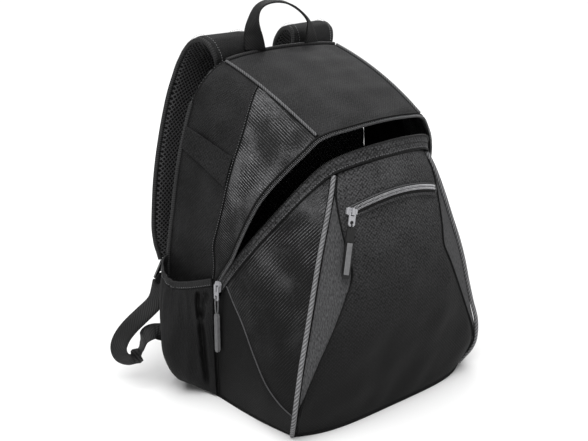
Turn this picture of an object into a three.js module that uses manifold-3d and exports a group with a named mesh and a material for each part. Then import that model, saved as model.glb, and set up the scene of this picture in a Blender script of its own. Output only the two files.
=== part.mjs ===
// A baseball bat backpack that stands open on its base: an arched rear shell with a hood, a
// flared front shell, the zip that joins them, mesh pockets, padded straps and a haul handle.
// Millimetres, +X to the viewer's right seen from the front, -Y the front, +Z up.
import * as THREE from "three";
import { mergeVertices } from "three/addons/utils/BufferGeometryUtils.js";
import Module from "manifold-3d";

const wasm = await Module();
wasm.setup();

// Driving sizes of the bag
const BODY_WIDTH = 344;
const BODY_HEIGHT = 417;
const FRONT_REACH = 130;
const BACK_REACH = 125;
const BACK_LEAN = 30;
const CLOTH = 1.8;
const SEAM_GAP = 0.5;
const BASE_THICKNESS = 2.5;
const BASE_GAP = 0.4;
const BACK_PADDING = 9;
const BACK_GAP = 0.9;
const CORNER_SOFTNESS = 5.4;
const GUSSET_BULGE = 5;

// Zips, piping and bands
const HOOD_TAPE_WIDTH = 5;
const FRONT_TAPE_WIDTH = 17;
const HOOD_PIPING_RADIUS = 2;
const FRONT_PIPING_RADIUS = 2.8;
const PIPING_CLEAR = 0.3;
const BAND_THICKNESS = 1.2;
const BAND_DENT = 4;
const BAND_LIFT = 0.9;
const POCKET_ZIP_LENGTH = 140;
const POCKET_ZIP_WIDTH = 11;
const POCKET_ZIP_THICKNESS = 1.6;
const POCKET_ZIP_DROP = 56.2;
const POCKET_ZIP_BOW = 12;

// Side pockets
const POCKET_HEIGHT = 162;
const POCKET_RISE = 16;
const POCKET_BULGE = 34;
const POCKET_CLOTH = 1.5;
const HEM_WIDTH = 10;
const HEM_THICKNESS = 2.6;
const HEM_LIFT = 0.5;
const HEM_DIP = 5;
const POCKET_FRONT = { foot: 46.5, hem: 43 };
const POCKET_BACK = 112;
const POCKET_CLEAR = 0.4;
const FOLD_DEPTH = 9;
const GATHER_DEPTH = 1.3;

// Handle, shoulder straps and their webbing
const HANDLE_WIDTH = 25;
const HANDLE_THICKNESS = 2.4;
const HANDLE_SPAN = 92;
const HANDLE_HEIGHT = 58;
const HANDLE_CLEAR = 1.5;
const STRAP_WIDTH = 66;
const STRAP_THICKNESS = 10;
const STRAP_REACH = 64;
const WEBBING_WIDTH = 22;
const WEBBING_THICKNESS = 1.8;
const BUCKLE_WIDTH = 34;
const BUCKLE_HEIGHT = 26;
const BUCKLE_THICKNESS = 5;
const BUCKLE_BAR = 4.5;
const BUCKLE_TURN = -0.35;
const BUCKLE_DROP = 2.6;

// Zip sliders and their pulls
const SLIDER_WIDTH = 9;
const SLIDER_LENGTH = 13;
const SLIDER_THICKNESS = 3.6;
const BRIDGE_WIDTH = 2.6;
const BRIDGE_REACH = 4;
const BRIDGE_BAR = 1.2;
const TUNNEL_HEIGHT = 2.6;
const TAB_THICKNESS = 1.3;
const TAB_WIDTH = 8;
const TAB_LENGTH = 17;
const TAB_HOLE_RADIUS = 2.3;
const CORD_RADIUS = 0.85;
const PULL_HOLE = -12.5;
const POCKET_TAB_LEAN = -0.22;
const PLAY = 0.3;
const MAIN_SLIDER_LIFT = 1.2;
const MAIN_GRIP = { width: 6, length: 50, thickness: 4, drop: 22 };
const PLAIN_PULL = { width: BRIDGE_WIDTH, thickness: 2, height: SLIDER_THICKNESS + 0.9 };
const POCKET_GRIP = { width: 10, length: 58, thickness: 2.4, drop: 6 };

const HALF_WIDTH = BODY_WIDTH / 2;
const { PI, abs, cos, max, min, sin, sqrt } = Math;
const vec = (x, y, z) => new THREE.Vector3(x, y, z);
const mix = (a, b, t) => a + (b - a) * t;
const clamp = (v, low = 0, high = 1) => max(low, min(high, v));
const smooth = (t) => clamp(t) ** 2 * (3 - 2 * clamp(t));
const bump = (t, centre, spread) => Math.exp(-(((t - centre) / spread) ** 2));

// Stringers run from the back edge to the zip, from the floor over the shoulder to the crown.
// Widths are shares of the half width, heights of the body height, depths of the front reach.
// back: the rear edge. hood: the upper zip edge. seam: the top edge of the front shell.
const STRINGERS = [
  { at: "floor", back: [0.884, 0], hood: [0.872, 0.346, 0], seam: [0.872, 0.346, 0], swell: 0 },
  { at: "low", back: [0.977, 0.144], hood: [0.884, 0.338, 0.132], seam: [0.884, 0.338, 0.132], swell: 0.2 },
  { at: "pocket", back: [0.994, 0.288], hood: [0.89, 0.323, 0.252], seam: [0.89, 0.323, 0.252], swell: 0.3 },
  { at: "slider", back: [1, 0.432], hood: [0.89, 0.308, 0.36], seam: [0.884, 0.277, 0.329], swell: 0.3 },
  { at: "waist", back: [0.965, 0.564], hood: [0.901, 0.069, 0.46], seam: [0.872, 0.062, 0.422], swell: 0.2 },
  { at: "chest", back: [0.924, 0.695], hood: [0.878, -0.123, 0.576], seam: [0.802, -0.169, 0.52], swell: 0.1 },
  { at: "band", back: [0.866, 0.803], hood: [0.82, -0.254, 0.662], seam: [0.674, -0.369, 0.614], swell: 0.3 },
  { at: "shoulder", back: [0.791, 0.897], hood: [0.692, -0.392, 0.739], seam: [0.564, -0.515, 0.681], swell: 0.6 },
  { at: "turn", back: [0.651, 0.959], hood: [0.587, -0.469, 0.784], seam: [0.459, -0.638, 0.729], swell: 0.8 },
  { at: "piping", back: [0.529, 0.983], hood: [0.488, -0.523, 0.82], seam: [0.36, -0.708, 0.746], swell: 0.9 },
  { at: "brow", back: [0.267, 0.996], hood: [0.25, -0.615, 0.841], seam: [0.186, -0.77, 0.758], swell: 1 },
  { at: "crown", back: [0, 1], hood: [0, -0.654, 0.849], seam: [0, -0.8, 0.763], swell: 1 },
];
const SWELL = 8;
const CROWN = STRINGERS.length - 1;
const row = (name) => STRINGERS.findIndex((stringer) => stringer.at === name);
const SLIDER_ROW = row("slider");
const PIPING_ROW = row("piping");

// Rungs of the front shell, from the floor to the top of the front piping: the crease's width,
// depth and height, and the depth of the panel's centre, as shares like the stringers'.
const RUNGS = [
  { crease: [0.858, -0.7, 0], centre: -0.877 },
  { crease: [0.925, -0.836, 0.1], centre: -0.938 },
  { crease: [0.866, -0.82, 0.216], centre: -0.969 },
  { crease: [0.8, -0.8, 0.314], centre: -0.977 },
  { crease: [0.738, -0.782, 0.408], centre: -0.962 },
  { crease: [0.652, -0.738, 0.511], centre: -0.915 },
  { crease: [0.572, -0.705, 0.6], centre: -0.854 },
  { crease: [0.498, -0.668, 0.676], centre: -0.815 },
  { crease: [0.446, -0.62, 0.727], centre: -0.8 },
];
const TOP_RUNG = RUNGS.length - 1;

// Where the side panel's front seam crosses each stringer, back edge to zip edge.
const SIDE_SEAM = [
  { stringer: 0, share: 1.2 },
  { stringer: 3, share: 1 },
  { stringer: 4, share: 0.71 },
  { stringer: 5, share: 0.67 },
  { stringer: 6, share: 0.62 },
  { stringer: 7, share: 0.55 },
  { stringer: 8, share: 0.45 },
  { stringer: 9, share: 0.37 },
];

// The lower edge of the gusset's ribbed cloth: share along a rung, and the rung it has reached.
const RIB_EDGE = [
  { along: 0, rung: 0.85 },
  { along: 0.26, rung: 1.1 },
  { along: 0.45, rung: 1.6 },
  { along: 0.6, rung: 2.2 },
  { along: 0.75, rung: 2.85 },
  { along: 1, rung: 3.5 },
];

// Half the width of the middle cloth on the front, as a share of the crease's, rung by rung.
const SLIVER_TOP = 7.5;
const SLIVER_KINK = { rung: 4.5, share: 0.65 };
const SLIVER_FOOT = 0.5;
const SLIVER_TIP = 0.012;

/** Reads a short table between its rows. */
function between(table, key, value, at) {
  const next = clamp(table.findIndex((entry) => entry[key] >= at), 1, table.length - 1);
  const upper = at > table.at(-1)[key] ? table.length - 1 : next;
  const [low, high] = [table[upper - 1], table[upper]];
  return mix(low[value], high[value], (at - low[key]) / (high[key] - low[key]));
}

/** A smooth curve through points, read by row number. */
function track(points) {
  const curve = new THREE.CatmullRomCurve3(points, false, "centripetal");
  return (at) => curve.getPoint(clamp(at / (points.length - 1)));
}

/** A smooth curve through points of one side and their mirror images over the crown. */
function arch(points) {
  const mirrored = points.slice(0, -1).reverse().map((p) => vec(-p.x, p.y, p.z));
  return track([...points, ...mirrored]);
}

const backDepth = (height) => BACK_REACH - BACK_LEAN * (height / BODY_HEIGHT);
const placed = ([wide, deep, up]) => vec(wide * HALF_WIDTH, deep * FRONT_REACH, up * BODY_HEIGHT);
const onBack = (wide, height) => vec(wide * HALF_WIDTH, backDepth(height), height);
const backEdge = arch(STRINGERS.map(({ back: [wide, up] }) => onBack(wide, up * BODY_HEIGHT)));
const hoodEdge = arch(STRINGERS.map(({ hood }) => placed(hood)));
const frontEdge = arch(STRINGERS.map(({ seam }) => placed(seam)));
const crease = track(RUNGS.map(({ crease: place }) => placed(place)));
const centreDepth = track(RUNGS.map(({ centre }) => vec(0, centre * FRONT_REACH, 0)));
const overTheCrown = [...STRINGERS, ...STRINGERS.slice(0, -1).reverse()];
const swellAt = track(overTheCrown.map(({ swell }) => vec(swell * SWELL, 0, 0)));

/** Outward normal of a surface of two parameters, by small differences. */
function normalOf(surface, a, b, inside) {
  const step = 1e-3;
  const alongA = surface(a + step, b).sub(surface(a - step, b));
  const alongB = surface(a, b + step).sub(surface(a, b - step));
  const normal = alongA.cross(alongB).normalize();
  return normal.dot(surface(a, b).sub(inside)) < 0 ? normal.negate() : normal;
}
const BAG_HEART = vec(0, 0, BODY_HEIGHT * 0.45);

const ruled = (s, t) => backEdge(s).lerp(hoodEdge(s), t);
const seamShare = (s) => between(SIDE_SEAM, "stringer", "share", min(s, 2 * CROWN - s));
const BAND = { low: 5.5, high: 6.1, widen: 0.25 };

/** The rear shell: stringer s, share t from the back edge to the zip. */
function rear(s, t) {
  const swell = swellAt(s).x * 4 * t * (1 - t);
  const along = clamp(t / seamShare(s));
  const dent = BAND_DENT * bump(min(s, 2 * CROWN - s), (BAND.low + BAND.high) / 2 + 0.1, 0.45);
  const point = ruled(s, t);
  return point.addScaledVector(normalOf(ruled, s, t, BAG_HEART), swell - dent * sin(PI * along) ** 1.3);
}

/** The gusset: share u from the crease (0) to the side seam or zip (1), at rung k. */
function gusset(u, k) {
  const point = crease(k).lerp(frontEdge(k), u);
  point.x += GUSSET_BULGE * 4 * u * (1 - u) * bump(k, 1.5, 2.5);
  return point;
}

const FRONT_SQUARENESS = { foot: 4.5, top: 2.2 };
const frontSquare = (k) => mix(FRONT_SQUARENESS.foot, FRONT_SQUARENESS.top, smooth(k / TOP_RUNG));
const frontRise = frontEdge(CROWN).z - frontEdge(TOP_RUNG).z;

/** The front panel: share a across from the centre to the crease, at rung k. */
function front(a, k) {
  const edge = crease(k);
  const hollow = abs(a) ** frontSquare(k);
  const lift = frontRise * (1 - hollow) * clamp(k / TOP_RUNG) ** 4;
  return vec(a * edge.x, mix(centreDepth(k).y, edge.y, hollow), edge.z + lift);
}

/** A grid of points of a cloth, its outer lines moved in from the seams by lengths in mm. */
function patchGrid(shape, rows, columns, trims) {
  const { a0 = 0, a1 = 0, b0 = 0, b1 = 0 } = trims;
  const step = 0.01;
  const share = (length, from, to) =>
    length ? min((length * step) / from.point.distanceTo(to.point), 0.45) : 0;
  return Array.from({ length: rows + 1 }, (_, j) =>
    Array.from({ length: columns + 1 }, (_, i) => {
      const [a, b] = [i / columns, j / rows];
      const lowA = share(a0, shape(0, b), shape(step, b));
      const highA = share(a1, shape(1, b), shape(1 - step, b));
      const lowB = share(b0, shape(a, 0), shape(a, step));
      const highB = share(b1, shape(a, 1), shape(a, 1 - step));
      return shape(clamp(a, lowA, 1 - highA), clamp(b, lowB, 1 - highB));
    }),
  );
}

/** A closed sheet between an outer and an inner grid of points. */
function sheet(outer, inner) {
  const rows = outer.length;
  const columns = outer[0].length;
  const points = [...outer.flat(), ...inner.flat()];
  const faces = [];
  const at = (j, i, layer) => (layer * rows + j) * columns + i;
  const quad = (a, b, c, d) => faces.push(a, b, c, a, c, d);
  for (let j = 0; j < rows - 1; j++)
    for (let i = 0; i < columns - 1; i++) {
      quad(at(j, i, 0), at(j, i + 1, 0), at(j + 1, i + 1, 0), at(j + 1, i, 0));
      quad(at(j, i, 1), at(j + 1, i, 1), at(j + 1, i + 1, 1), at(j, i + 1, 1));
    }
  for (let i = 0; i < columns - 1; i++) {
    quad(at(0, i, 0), at(0, i, 1), at(0, i + 1, 1), at(0, i + 1, 0));
    quad(at(rows - 1, i, 0), at(rows - 1, i + 1, 0), at(rows - 1, i + 1, 1), at(rows - 1, i, 1));
  }
  for (let j = 0; j < rows - 1; j++) {
    quad(at(j, 0, 0), at(j + 1, 0, 0), at(j + 1, 0, 1), at(j, 0, 1));
    quad(at(j, columns - 1, 0), at(j, columns - 1, 1), at(j + 1, columns - 1, 1), at(j + 1, columns - 1, 0));
  }
  return closed(points, faces);
}

/** A solid lofted through rings of equally many points, closed by a fan at both ends. */
function loft(rings) {
  const count = rings[0].length;
  const faces = [];
  for (let j = 0; j < rings.length - 1; j++)
    for (let i = 0; i < count; i++) {
      const k = (i + 1) % count;
      const [a, b, c, d] = [j * count + i, j * count + k, (j + 1) * count + k, (j + 1) * count + i];
      faces.push(a, b, c, a, c, d);
    }
  const last = (rings.length - 1) * count;
  for (let i = 1; i < count - 1; i++) {
    faces.push(0, i + 1, i);
    faces.push(last, last + i, last + i + 1);
  }
  return closed(rings.flat(), faces);
}

/** A closed geometry with its faces turned outwards. */
function closed(points, faces) {
  let volume = 0;
  for (let i = 0; i < faces.length; i += 3) {
    const [a, b, c] = [points[faces[i]], points[faces[i + 1]], points[faces[i + 2]]];
    volume += a.clone().cross(b).dot(c);
  }
  if (volume < 0) faces.reverse();
  return new THREE.BufferGeometry().setFromPoints(points).setIndex(faces);
}

/** Cloth cut from a surface: f(a, b) gives a point and its outward normal. */
function cloth(shape, rows, columns, trims, { wall = CLOTH, lift = 0 } = {}) {
  const grid = patchGrid(shape, rows, columns, trims);
  const moved = ({ point, normal }, by) => point.clone().addScaledVector(normal, by);
  const shifted = (by) => grid.map((line) => line.map((entry) => moved(entry, by)));
  return sheet(shifted(lift), shifted(lift - wall));
}
const onSurface = (surface, a, b) => ({ point: surface(a, b), normal: normalOf(surface, a, b, BAG_HEART) });

/** A round cord along a curve. */
function cord(points, radius, steps, sides = 6) {
  const section = new THREE.Shape();
  section.absarc(0, 0, radius, 0, 2 * PI);
  const extrudePath = new THREE.CatmullRomCurve3(points, false, "centripetal");
  const curveSegments = sides / 2;
  return new THREE.ExtrudeGeometry(section, { steps, curveSegments, bevelEnabled: false, extrudePath });
}

/** A strap of flat section along rows of place, across direction and half sizes. */
function strap(rows, corner = 0.3) {
  const rings = rows.map(({ place, across, out, half, thick }) => {
    const point = (x, y) => place.clone().addScaledVector(across, x * half).addScaledVector(out, y * thick);
    const inner = 1 - corner;
    const edge = 1 - (corner * thick) / half;
    return [
      [-1, -inner], [-edge, -1], [edge, -1], [1, -inner],
      [1, inner], [edge, 1], [-edge, 1], [-1, inner],
    ].map(([x, y]) => point(x, y));
  });
  return loft(rings);
}

/** Joins closed geometries, or cuts some away from the first. */
function solidOf(geometry) {
  const bare = geometry.clone();
  bare.deleteAttribute("normal");
  bare.deleteAttribute("uv");
  const merged = mergeVertices(bare, 1e-4);
  const vertProperties = new Float32Array(merged.attributes.position.array);
  const triVerts = new Uint32Array(merged.index.array);
  return new wasm.Manifold(new wasm.Mesh({ numProp: 3, vertProperties, triVerts }));
}
function geometryOf(solid) {
  const mesh = solid.getMesh();
  const geometry = new THREE.BufferGeometry();
  geometry.setAttribute("position", new THREE.BufferAttribute(new Float32Array(mesh.vertProperties), 3));
  return geometry.setIndex(new THREE.BufferAttribute(new Uint32Array(mesh.triVerts), 1));
}
const sumOf = (solids) => solids.reduce((sum, solid) => sum.add(solid));
const joined = (...geometries) => geometryOf(sumOf(geometries.map(solidOf)));

/** A strap of plain rectangular section. */
const band = (rows) =>
  loft(
    rows.map(({ place, across, out, half, thick }) =>
      [[-1, -1], [1, -1], [1, 1], [-1, 1]].map(([x, y]) =>
        place.clone().addScaledVector(across, x * half).addScaledVector(out, y * thick),
      ),
    ),
  );

const block = (x, y, z, px = 0, py = 0, pz = 0) => new THREE.BoxGeometry(x, y, z).translate(px, py, pz);

const FINISHES = {
  plain: { color: 0x17171a, roughness: 0.85, metalness: 0 },
  ribbed: { color: 0x26262a, roughness: 0.8, metalness: 0 },
  heather: { color: 0x4a4a4e, roughness: 0.9, metalness: 0 },
  pocket: { color: 0x141416, roughness: 0.9, metalness: 0 },
  piping: { color: 0x77777b, roughness: 0.6, metalness: 0 },
  webbing: { color: 0x121214, roughness: 0.75, metalness: 0 },
  mesh: { color: 0x1a1a1c, roughness: 0.9, metalness: 0 },
  teeth: { color: 0x8d8d92, roughness: 0.4, metalness: 0.8 },
  gunmetal: { color: 0x6a6a70, roughness: 0.35, metalness: 0.9 },
  rubber: { color: 0x6f6f73, roughness: 0.5, metalness: 0 },
  buckle: { color: 0x0f0f10, roughness: 0.45, metalness: 0 },
};
const bag = new THREE.Group();
function piece(name, finish, geometry, parent = bag) {
  const mesh = new THREE.Mesh(geometry, new THREE.MeshStandardMaterial(FINISHES[finish]));
  mesh.name = name;
  parent.add(mesh);
  return mesh;
}

/** Adds a piece to both sides: the right as built, the left mirrored. */
function pair(name, finish, geometry) {
  piece(`${name}_right`, finish, geometry);
  piece(`${name}_left`, finish, mirrored(geometry));
}
function mirrored(geometry) {
  const flipped = geometry.clone().scale(-1, 1, 1);
  const plainOrder = Array.from({ length: flipped.attributes.position.count }, (_, i) => i);
  flipped.setIndex((flipped.index ? Array.from(flipped.index.array) : plainOrder).reverse());
  return flipped;
}

const hoodTapeShare = (s) => 1 - HOOD_TAPE_WIDTH / backEdge(s).distanceTo(hoodEdge(s));
const GAPS = { a0: SEAM_GAP / 2, a1: SEAM_GAP / 2, b0: SEAM_GAP / 2, b1: SEAM_GAP / 2 };
const FLOOR_TRIM = BASE_THICKNESS + BASE_GAP;
const rearPatch = (s, t) => onSurface(rear, s, t);

function addRearShell() {
  const [sideRows, hoodColumns] = [13, 10];
  const ribStart = PIPING_ROW * 0.35;
  const ribTip = 0.03;
  const seamAt = (s) => min(seamShare(s), hoodTapeShare(s) - ribTip);
  const side = (a, b) => {
    const s = b * PIPING_ROW;
    return rearPatch(s, a * (s < ribStart ? 1 : seamAt(s)));
  };
  const hoodTrim = HOOD_PIPING_RADIUS + SEAM_GAP;
  pair("side_panel", "ribbed", cloth(side, 20, 6, { ...GAPS, b0: FLOOR_TRIM, b1: hoodTrim }));
  const rib = (a, b) => {
    const s = mix(ribStart, PIPING_ROW, b);
    return rearPatch(s, mix(seamAt(s), hoodTapeShare(s), a));
  };
  pair("rib_panel", "ribbed", cloth(rib, sideRows, 4, { ...GAPS, b1: hoodTrim }));
  const hood = (a, b) => {
    const s = mix(PIPING_ROW, 2 * CROWN - PIPING_ROW, a);
    return rearPatch(s, b * hoodTapeShare(s));
  };
  piece("hood_panel", "plain", cloth(hood, 8, hoodColumns, { ...GAPS, a0: hoodTrim, a1: hoodTrim }));
  const tapeRows = 2 * sideRows + hoodColumns;
  const stops = Array.from({ length: tapeRows + 1 }, (_, i) => {
    const side = min(i, tapeRows - i);
    const leg = mix(ribStart, PIPING_ROW, side / sideRows);
    const top = mix(PIPING_ROW, 2 * CROWN - PIPING_ROW, (i - sideRows) / hoodColumns);
    return vec(side > sideRows ? top : i > sideRows ? 2 * CROWN - leg : leg, 0, 0);
  });
  const tape = (a, b) => {
    const low = clamp(Math.floor(a * tapeRows), 0, tapeRows - 1);
    const s = stops[low].clone().lerp(stops[low + 1], a * tapeRows - low).x;
    return rearPatch(s, mix(hoodTapeShare(s), 1, b));
  };
  piece("hood_zip_tape", "teeth", cloth(tape, 1, tapeRows, { b0: SEAM_GAP / 2 }));
  const pipe = Array.from({ length: 9 }, (_, i) => {
    const { point, normal } = rearPatch(PIPING_ROW, mix(0.015, 0.955, i / 8));
    return point.addScaledVector(normal, HOOD_PIPING_RADIUS * 0.3);
  });
  pair("hood_piping", "piping", cord(pipe, HOOD_PIPING_RADIUS, 14));
}

/** The side band lies in its dent on the side panel. */
function addSideBands() {
  const band = (a, b) => {
    const t = mix(0.02, 0.97, a);
    const reach = (s) => seamShare(s) * t;
    const s = mix(BAND.low, BAND.high + BAND.widen * t, b);
    return rearPatch(s, reach(s));
  };
  const lift = BAND_THICKNESS + BAND_LIFT;
  pair("side_band", "webbing", cloth(band, 3, 8, {}, { wall: BAND_THICKNESS, lift }));
}

const gussetPatch = (u, k) => onSurface(gusset, u, k);
const frontPatch = (a, k) => onSurface(front, a, k);
const sliverShare = (k) => {
  const { rung, share } = SLIVER_KINK;
  const climb = k > rung ? (SLIVER_TOP - k) / (SLIVER_TOP - rung) : (k - SLIVER_FOOT) / (rung - SLIVER_FOOT);
  return 1 - (1 - share) * clamp(climb) ** 1.1;
};

function addFrontShell() {
  const creaseTrim = FRONT_PIPING_RADIUS + SEAM_GAP + PIPING_CLEAR;
  const ribEdge = (u) => between(RIB_EDGE, "along", "rung", u);
  const rib = (a, b) => gussetPatch(a, mix(ribEdge(a), TOP_RUNG - 0.25, b));
  const foot = (a, b) => gussetPatch(a, ribEdge(a) * b);
  pair("gusset_rib", "ribbed", cloth(rib, 12, 6, { ...GAPS, a0: creaseTrim }));
  pair("gusset_base", "plain", cloth(foot, 6, 6, { ...GAPS, a0: creaseTrim, b0: FLOOR_TRIM }));
  const pipeShare = (k) => 1 - creaseTrim / crease(k).x;
  const seamAt = (k) => min(sliverShare(k), pipeShare(k) - SLIVER_TIP);
  const middle = (a, b) => {
    const k = b * TOP_RUNG;
    const half = k < SLIVER_FOOT || k > SLIVER_TOP ? pipeShare(k) : seamAt(k);
    return frontPatch(mix(-half, half, a), k);
  };
  piece("front_panel", "plain", cloth(middle, 16, 12, { ...GAPS, b0: FLOOR_TRIM }));
  const sliver = (a, b) => {
    const k = mix(SLIVER_FOOT, SLIVER_TOP, b);
    return frontPatch(mix(seamAt(k), pipeShare(k), a), k);
  };
  pair("front_sliver", "heather", cloth(sliver, 14, 3, { a0: SEAM_GAP / 2 }));
  const pipe = Array.from({ length: 12 }, (_, i) => {
    const k = mix(0, TOP_RUNG - 0.06, i / 11);
    const out = gussetPatch(0, k).normal.add(frontPatch(1, k).normal).normalize();
    const place = crease(k).addScaledVector(out, FRONT_PIPING_RADIUS * 0.35);
    place.z = max(place.z, FLOOR_TRIM);
    return place;
  });
  pair("front_piping", "piping", cord(pipe, FRONT_PIPING_RADIUS, 26));
}

// How far the front leans forward under its zip tape, for each unit down.
const FRONT_SLOPE = 0.133;

/** The direction in which the front zip tape stands up from the seam under it. */
function tapeRise(s) {
  const side = min(s, 2 * CROWN - s);
  const flip = s > CROWN ? -1 : 1;
  const tangent = frontEdge(s + 0.02).sub(frontEdge(s - 0.02)).normalize();
  const onGusset = crease(min(side, TOP_RUNG - 1)).sub(frontEdge(min(side, TOP_RUNG - 1)));
  onGusset.x *= flip;
  const onFront = vec(0, -FRONT_SLOPE, -1);
  const down = onGusset.normalize().lerp(onFront.normalize(), smooth((side - TOP_RUNG + 1.4) / 1.4));
  return down.addScaledVector(tangent, -down.dot(tangent)).normalize().negate();
}
const TAPE_END_SHARE = 0.62;
const fromSlider = (s) => (min(s, 2 * CROWN - s) - SLIDER_ROW) / (CROWN - SLIDER_ROW);
const tapeWidth = (s) => FRONT_TAPE_WIDTH * mix(TAPE_END_SHARE, 1, smooth(fromSlider(s)));
function tapeRising(s, b) {
  return frontEdge(s).addScaledVector(tapeRise(s), SEAM_GAP + b * (tapeWidth(s) - SEAM_GAP));
}

function addFrontTape() {
  const tape = (a, b) => onSurface(tapeRising, mix(SLIDER_ROW + 0.25, 2 * CROWN - SLIDER_ROW - 0.25, a), b);
  piece("front_zip_tape", "plain", cloth(tape, 1, 44, {}));
}

/** The base and the padded back close the shell below and behind. */
function addBaseAndBack() {
  const outline = [];
  for (let i = 0; i <= 10; i++) outline.push(front(mix(0, 0.985, i / 10), 0));
  for (let i = 1; i <= 4; i++) outline.push(gusset(i / 4, 0));
  outline.push(rear(0, 0.5), rear(0, 0.06));
  const right = outline.map((p) => [p.x, p.y]);
  const back = [backEdge(0).x * 0.96, BACK_REACH + BACK_PADDING * 0.6];
  const all = [...right, back];
  const left = all.slice(1).reverse().map(([x, y]) => [-x, y]);
  const plan = new THREE.Shape([...all, ...left].map(([x, y]) => new THREE.Vector2(x, y)));
  piece("base_panel", "plain", new THREE.ExtrudeGeometry(plan, { depth: BASE_THICKNESS, bevelEnabled: false }));
  const rows = Array.from({ length: 13 }, (_, j) => mix(0, PIPING_ROW, j / 12));
  const grids = [BACK_GAP, BACK_GAP + BACK_PADDING].map((shift) =>
    rows.map((s, j) =>
      Array.from({ length: 13 }, (_, i) => {
        const across = mix(-1, 1, i / 12);
        const edge = backEdge(s);
        const arching = (backEdge(CROWN).z - backEdge(PIPING_ROW).z) * (1 - across ** 2) * (j / 12) ** 6;
        const point = vec(edge.x * across, 0, max(edge.z + arching, FLOOR_TRIM));
        const soft = shift > BACK_GAP ? CORNER_SOFTNESS * max(abs(across) ** 8, (j / 12) ** 14) : 0;
        point.y = backDepth(point.z) + shift - soft;
        return point;
      }),
    ),
  );
  piece("back_panel", "mesh", sheet(grids[1], grids[0]));
}

/** X of the side panel's outside at a depth and height. */
function sideAt(depth, height) {
  let [low, high] = [0, PIPING_ROW];
  const shareAt = (s) => (backEdge(s).y - depth) / (backEdge(s).y - hoodEdge(s).y);
  for (let i = 0; i < 24; i++) {
    const s = (low + high) / 2;
    if (ruled(s, shareAt(s)).z < height) low = s;
    else high = s;
  }
  return rear(low, clamp(shareAt(low))).x;
}

/** The height of the pocket's hem at a share from front to back: it dips, then rises. */
function hemHeight(u) {
  return POCKET_HEIGHT + POCKET_RISE * smooth((u - 0.45) / 0.55) - HEM_DIP * sin(PI * clamp(u * 1.15));
}

/** The side pocket's outside: share u from its front edge to its back edge, v from base to hem. */
function pocket(u, v) {
  const height = FLOOR_TRIM + v * (hemHeight(u) - FLOOR_TRIM);
  const depth = mix(mix(POCKET_FRONT.foot, POCKET_FRONT.hem, v), POCKET_BACK, u);
  const round = sin(PI * clamp(u) ** 1.35) ** 0.75;
  const rising = sqrt(1 - (1 - clamp(v / 0.36)) ** 2);
  const belly = mix(0.08, 1, rising) * (1 - 0.3 * smooth((v - 0.62) / 0.38));
  const forkAt = 0.2 + 0.07 * v;
  const fold = FOLD_DEPTH * bump(u, forkAt, 0.035) * smooth(v / 0.25) * (1 - smooth((v - 0.8) / 0.2));
  const forkReach = smooth((v - 0.6) / 0.1) * (1 - smooth((v - 0.86) / 0.12));
  const fork = FOLD_DEPTH * 0.7 * bump(u, 0.12 + 0.25 * (0.85 - v), 0.03) * forkReach;
  const gathers = GATHER_DEPTH * cos(u * 2 * PI * 9) * smooth((v - 0.55) / 0.35) * sin(PI * clamp(u));
  const out = POCKET_BULGE * round * belly - (fold + fork) * round - gathers * round;
  const clear = SEAM_GAP + HEM_THICKNESS + POCKET_CLEAR;
  return vec(sideAt(depth, height) + clear + max(out, 0), depth, height);
}

function addPockets() {
  const inside = vec(0, (POCKET_FRONT.foot + POCKET_BACK) / 2, POCKET_HEIGHT / 2);
  const hemShare = 1 - HEM_WIDTH / POCKET_HEIGHT;
  const shape = (u, v) => ({ point: pocket(u, v), normal: normalOf(pocket, u, v, inside) });
  const bag = (a, b) => shape(a, b * hemShare);
  const hem = (a, b) => shape(a, mix(hemShare, 1, b));
  pair("side_pocket", "pocket", cloth(bag, 9, 22, { b1: SEAM_GAP }, { wall: POCKET_CLOTH }));
  pair("pocket_hem", "pocket", cloth(hem, 1, 22, {}, { wall: HEM_THICKNESS, lift: HEM_LIFT }));
}

// The haul handle, left foot to right: side place as a share of half its span, height as a share
// of its rise, and the turn of its face from edge-on at the crest, in degrees.
const HANDLE_ROUTE = [
  { side: -0.94, up: 0, turn: 62 },
  { side: -1.02, up: 0.28, turn: 35 },
  { side: -1.03, up: 0.6, turn: -5 },
  { side: -0.88, up: 0.88, turn: -25 },
  { side: -0.4, up: 1, turn: -25 },
  { side: 0.24, up: 0.9, turn: -25 },
  { side: 0.84, up: 0.57, turn: -38 },
  { side: 1, up: 0.27, turn: -65 },
  { side: 1.05, up: 0, turn: -85 },
];

/** The webbing handle arches over the seam at the back of the hood. */
function addHandle() {
  const foot = HANDLE_SPAN / 2;
  const seat = backEdge(CROWN - 2 * (foot / backEdge(PIPING_ROW).x)).z + HANDLE_CLEAR;
  const last = HANDLE_ROUTE.length - 1;
  const depth = backDepth(BODY_HEIGHT);
  const line = track(HANDLE_ROUTE.map(({ side, up }) => vec(side * foot, depth, seat + up * HANDLE_HEIGHT)));
  const turn = track(HANDLE_ROUTE.map((entry) => vec(THREE.MathUtils.degToRad(entry.turn), 0, 0)));
  const rows = Array.from({ length: 21 }, (_, i) => {
    const at = (i / 20) * last;
    const along = line(at + 0.05).sub(line(at - 0.05)).normalize();
    const across = vec(sin(turn(at).x), -cos(turn(at).x), 0);
    across.addScaledVector(along, -across.dot(along) * (1 - abs(2 * (i / 20) - 1) ** 4)).normalize();
    const out = along.clone().cross(across).normalize();
    return { place: line(at), across, out, half: HANDLE_WIDTH / 2, thick: HANDLE_THICKNESS / 2 };
  });
  piece("haul_handle", "webbing", band(rows));
}

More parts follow.
